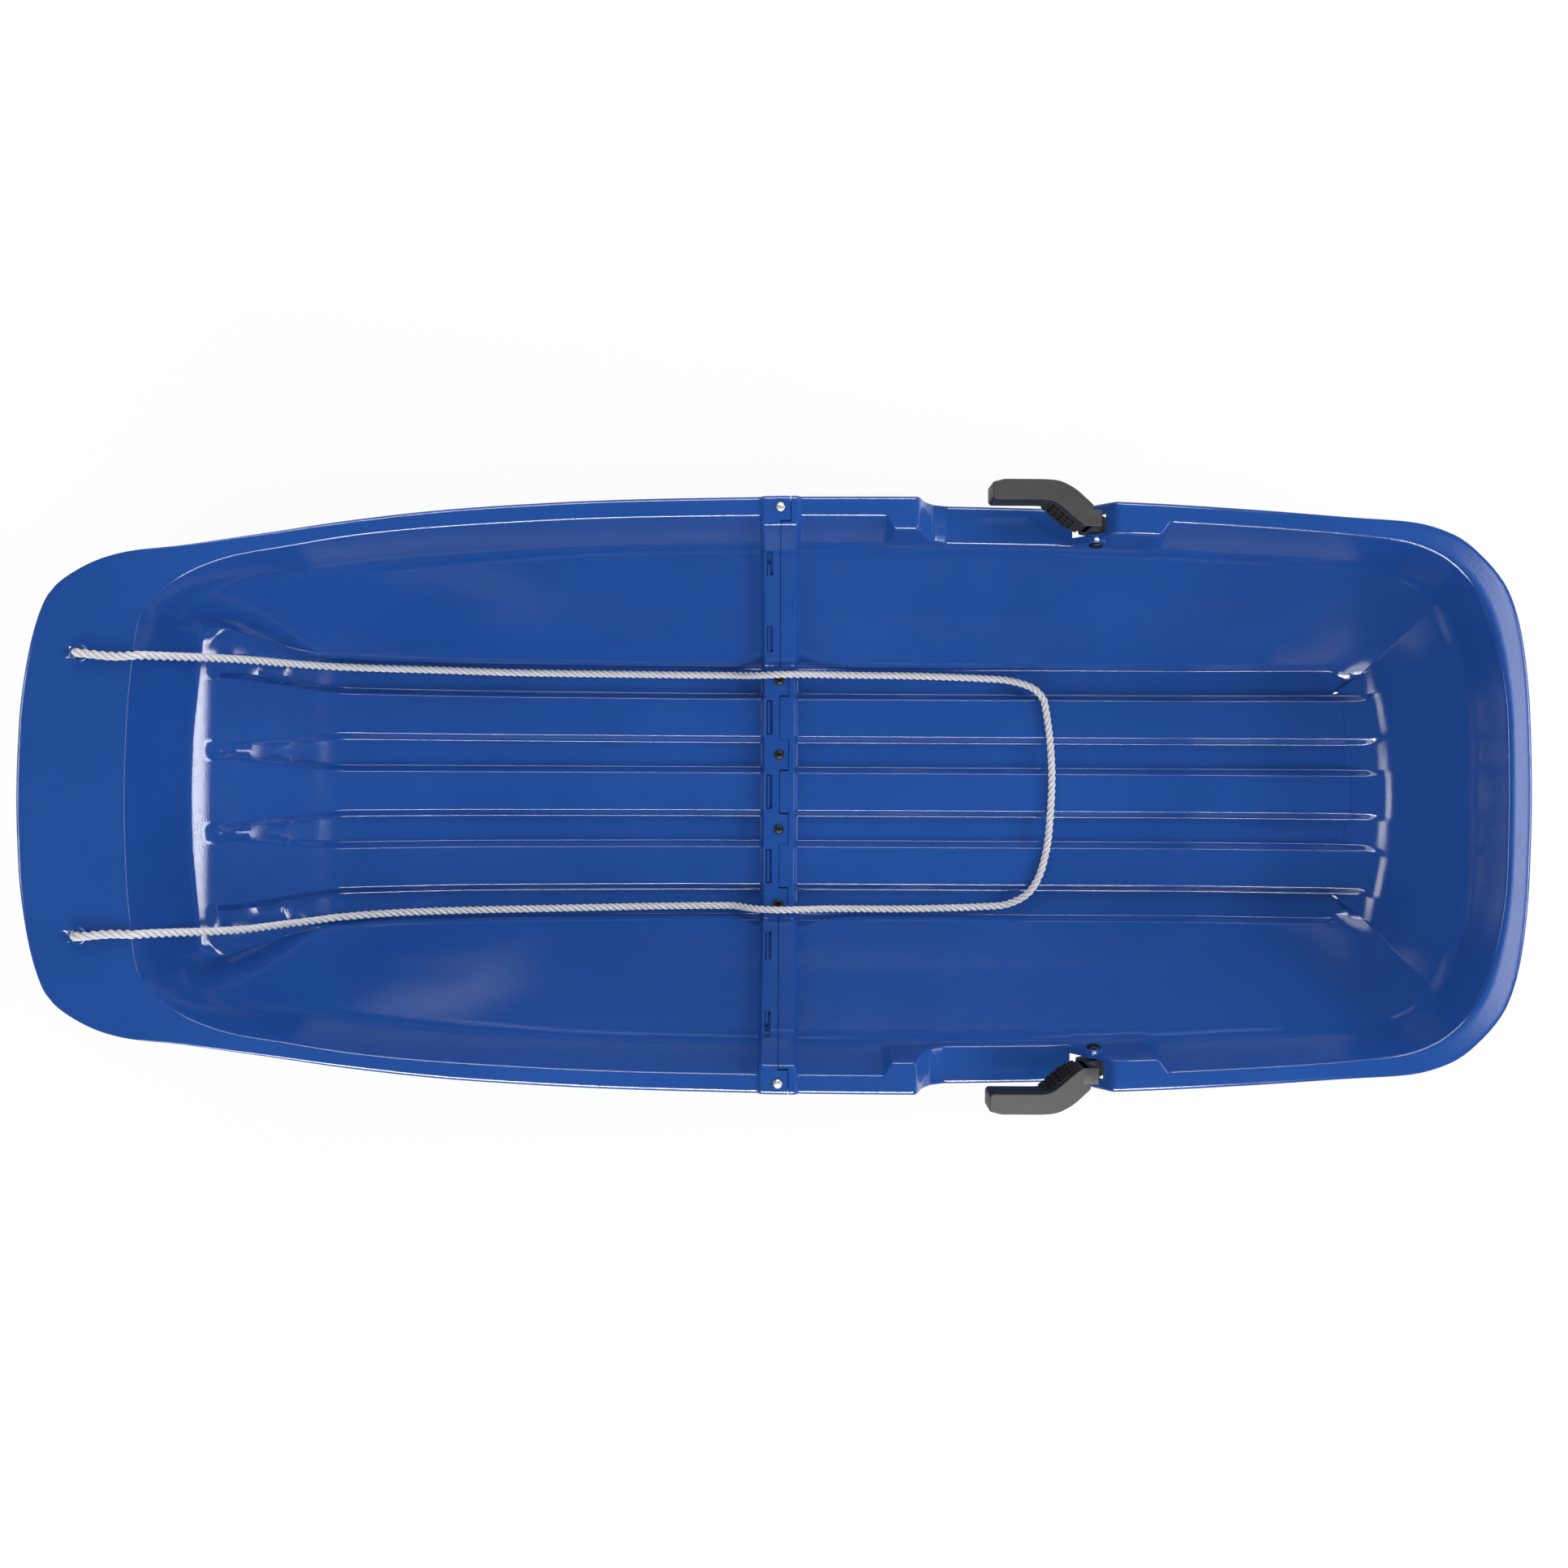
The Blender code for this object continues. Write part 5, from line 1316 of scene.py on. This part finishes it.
# Lamps: place, aim, size, watts, and the kind of ray that doesn't meet one. The softboxes and the fill light
# the tub evenly, and the strips, cards and panes are bright shapes that its gloss shows along the edges.
LAMPS = {
    "right_softbox": ((0.1, 2.3, 1.7), (0, 0, 0.05), (2.4, 0.8), 24, None),
    "left_softbox": ((0.1, -2.3, 1.7), (0, 0, 0.05), (2.4, 0.8), 34, None),
    "nose_softbox": ((-2.6, 0.0, 1.7), (0, 0, 0.05), (1.6, 0.7), 12, "glossy"),
    "tail_fill": ((2.6, 0.0, 1.0), (-0.5, 0, 0.15), (1.6, 0.7), 24, "glossy"),
    "tail_card": ((2.9, 0.0, 2.05), (-0.53, 0, 0.14), (1.25, 0.42), 30, None),
    "right_strip": ((0.1, 1.9, 2.45), (0, 0, 0.1), (2.6, 0.40), 60, "diffuse"),
    "left_strip": ((0.1, -1.9, 2.45), (0, 0, 0.1), (2.6, 0.40), 170, "diffuse"),
    "tail_top_card": ((1.085, 0.0, 1.02), (0.6, 0, 0.147), (0.8, 0.11), 1.7, "diffuse"),
    "nose_pane_right": ((-2.6, 0.263, 1.6), (0, 0, 0.1), (0.15, 0.8), 5, "diffuse"),
    "nose_pane_middle": ((-2.6, 0.0, 1.6), (0, 0, 0.1), (0.15, 0.8), 5, "diffuse"),
    "nose_pane_left": ((-2.6, -0.263, 1.6), (0, 0, 0.1), (0.15, 0.8), 5, "diffuse"),
}
FLOOR_HALF = 6.0
FLOOR_DROP = 0.0005
FLOOR_GLOW = 0.88
SKY_LIGHT = 0.50
SKY_IN_GLOSS = 0.03


def add_light(name, place, aim, size, power, unmet):
    """A rectangle of light that the camera doesn't see."""
    data = bpy.data.lights.new(name, "AREA")
    data.shape = "RECTANGLE"
    data.size, data.size_y = size
    data.energy = power
    lamp = bpy.data.objects.new(name, data)
    lamp.location = place
    lamp.visible_camera = False
    lamp.visible_glossy = unmet != "glossy"
    lamp.visible_diffuse = unmet != "diffuse"
    lamp.rotation_euler = (Vector(aim) - Vector(place)).to_track_quat("-Z", "Y").to_euler()
    bpy.context.scene.collection.objects.link(lamp)


def build_studio():
    """A pale floor that shows white to the camera and in gloss, and an even sky that gloss hardly shows."""
    corners = [(x * FLOOR_HALF, y * FLOOR_HALF, -FLOOR_DROP) for x, y in ((-1, -1), (1, -1), (1, 1), (-1, 1))]
    mesh = bpy.data.meshes.new("studio_floor")
    mesh.from_pydata(corners, [], [(0, 1, 2, 3)])
    ground = bpy.data.objects.new("studio_floor", mesh)
    bpy.context.scene.collection.objects.link(ground)
    made, shader = finish("white_studio_floor", Base_Color=linear("#FFFFFF"), Roughness=0.9)
    mesh.materials.append(made)
    glow = node(made, "ShaderNodeEmission", {"Color": (1, 1, 1, 1), "Strength": 1.0})
    rays = node(made, "ShaderNodeLightPath").outputs
    seen = {0: rays["Is Camera Ray"], 1: rays["Is Glossy Ray"]}
    seen = node(made, "ShaderNodeMath", seen, operation="MAXIMUM")
    share = node(made, "ShaderNodeMath", {0: seen.outputs[0], 1: FLOOR_GLOW}, operation="MULTIPLY")
    mix = node(made, "ShaderNodeMixShader", {0: share.outputs[0], 1: shader.outputs[0], 2: glow.outputs[0]})
    fill(made, made.node_tree.nodes["Material Output"], {"Surface": mix.outputs[0]})

    world = bpy.data.worlds.new("even_sky")
    world.use_nodes = True
    rays = node(world, "ShaderNodeLightPath").outputs
    level = {"Value": rays["Is Glossy Ray"], "To Min": SKY_LIGHT, "To Max": SKY_IN_GLOSS}
    level = node(world, "ShaderNodeMapRange", level).outputs["Result"]
    fill(world, world.node_tree.nodes["Background"], {"Color": (1, 1, 1, 1), "Strength": level})
    bpy.context.scene.world = world


def build_camera():
    """Straight down, from a little over a metre above the floor of the tub, framed as the photograph is."""
    data = bpy.data.cameras.new("overhead")
    data.lens = 25.88
    data.sensor_width = 36
    data.sensor_fit = "HORIZONTAL"
    data.shift_x = 0.0031
    data.shift_y = -0.0119
    camera = bpy.data.objects.new("overhead", data)
    camera.location = (-0.0246, 0.0257, 1.112)
    camera.rotation_euler = (0, 0, math.radians(0.3))
    bpy.context.scene.collection.objects.link(camera)
    bpy.context.scene.camera = camera


build_studio()
build_camera()
for name, settings in LAMPS.items():
    add_light(name, *settings)
bpy.context.scene.view_settings.view_transform = "Standard"
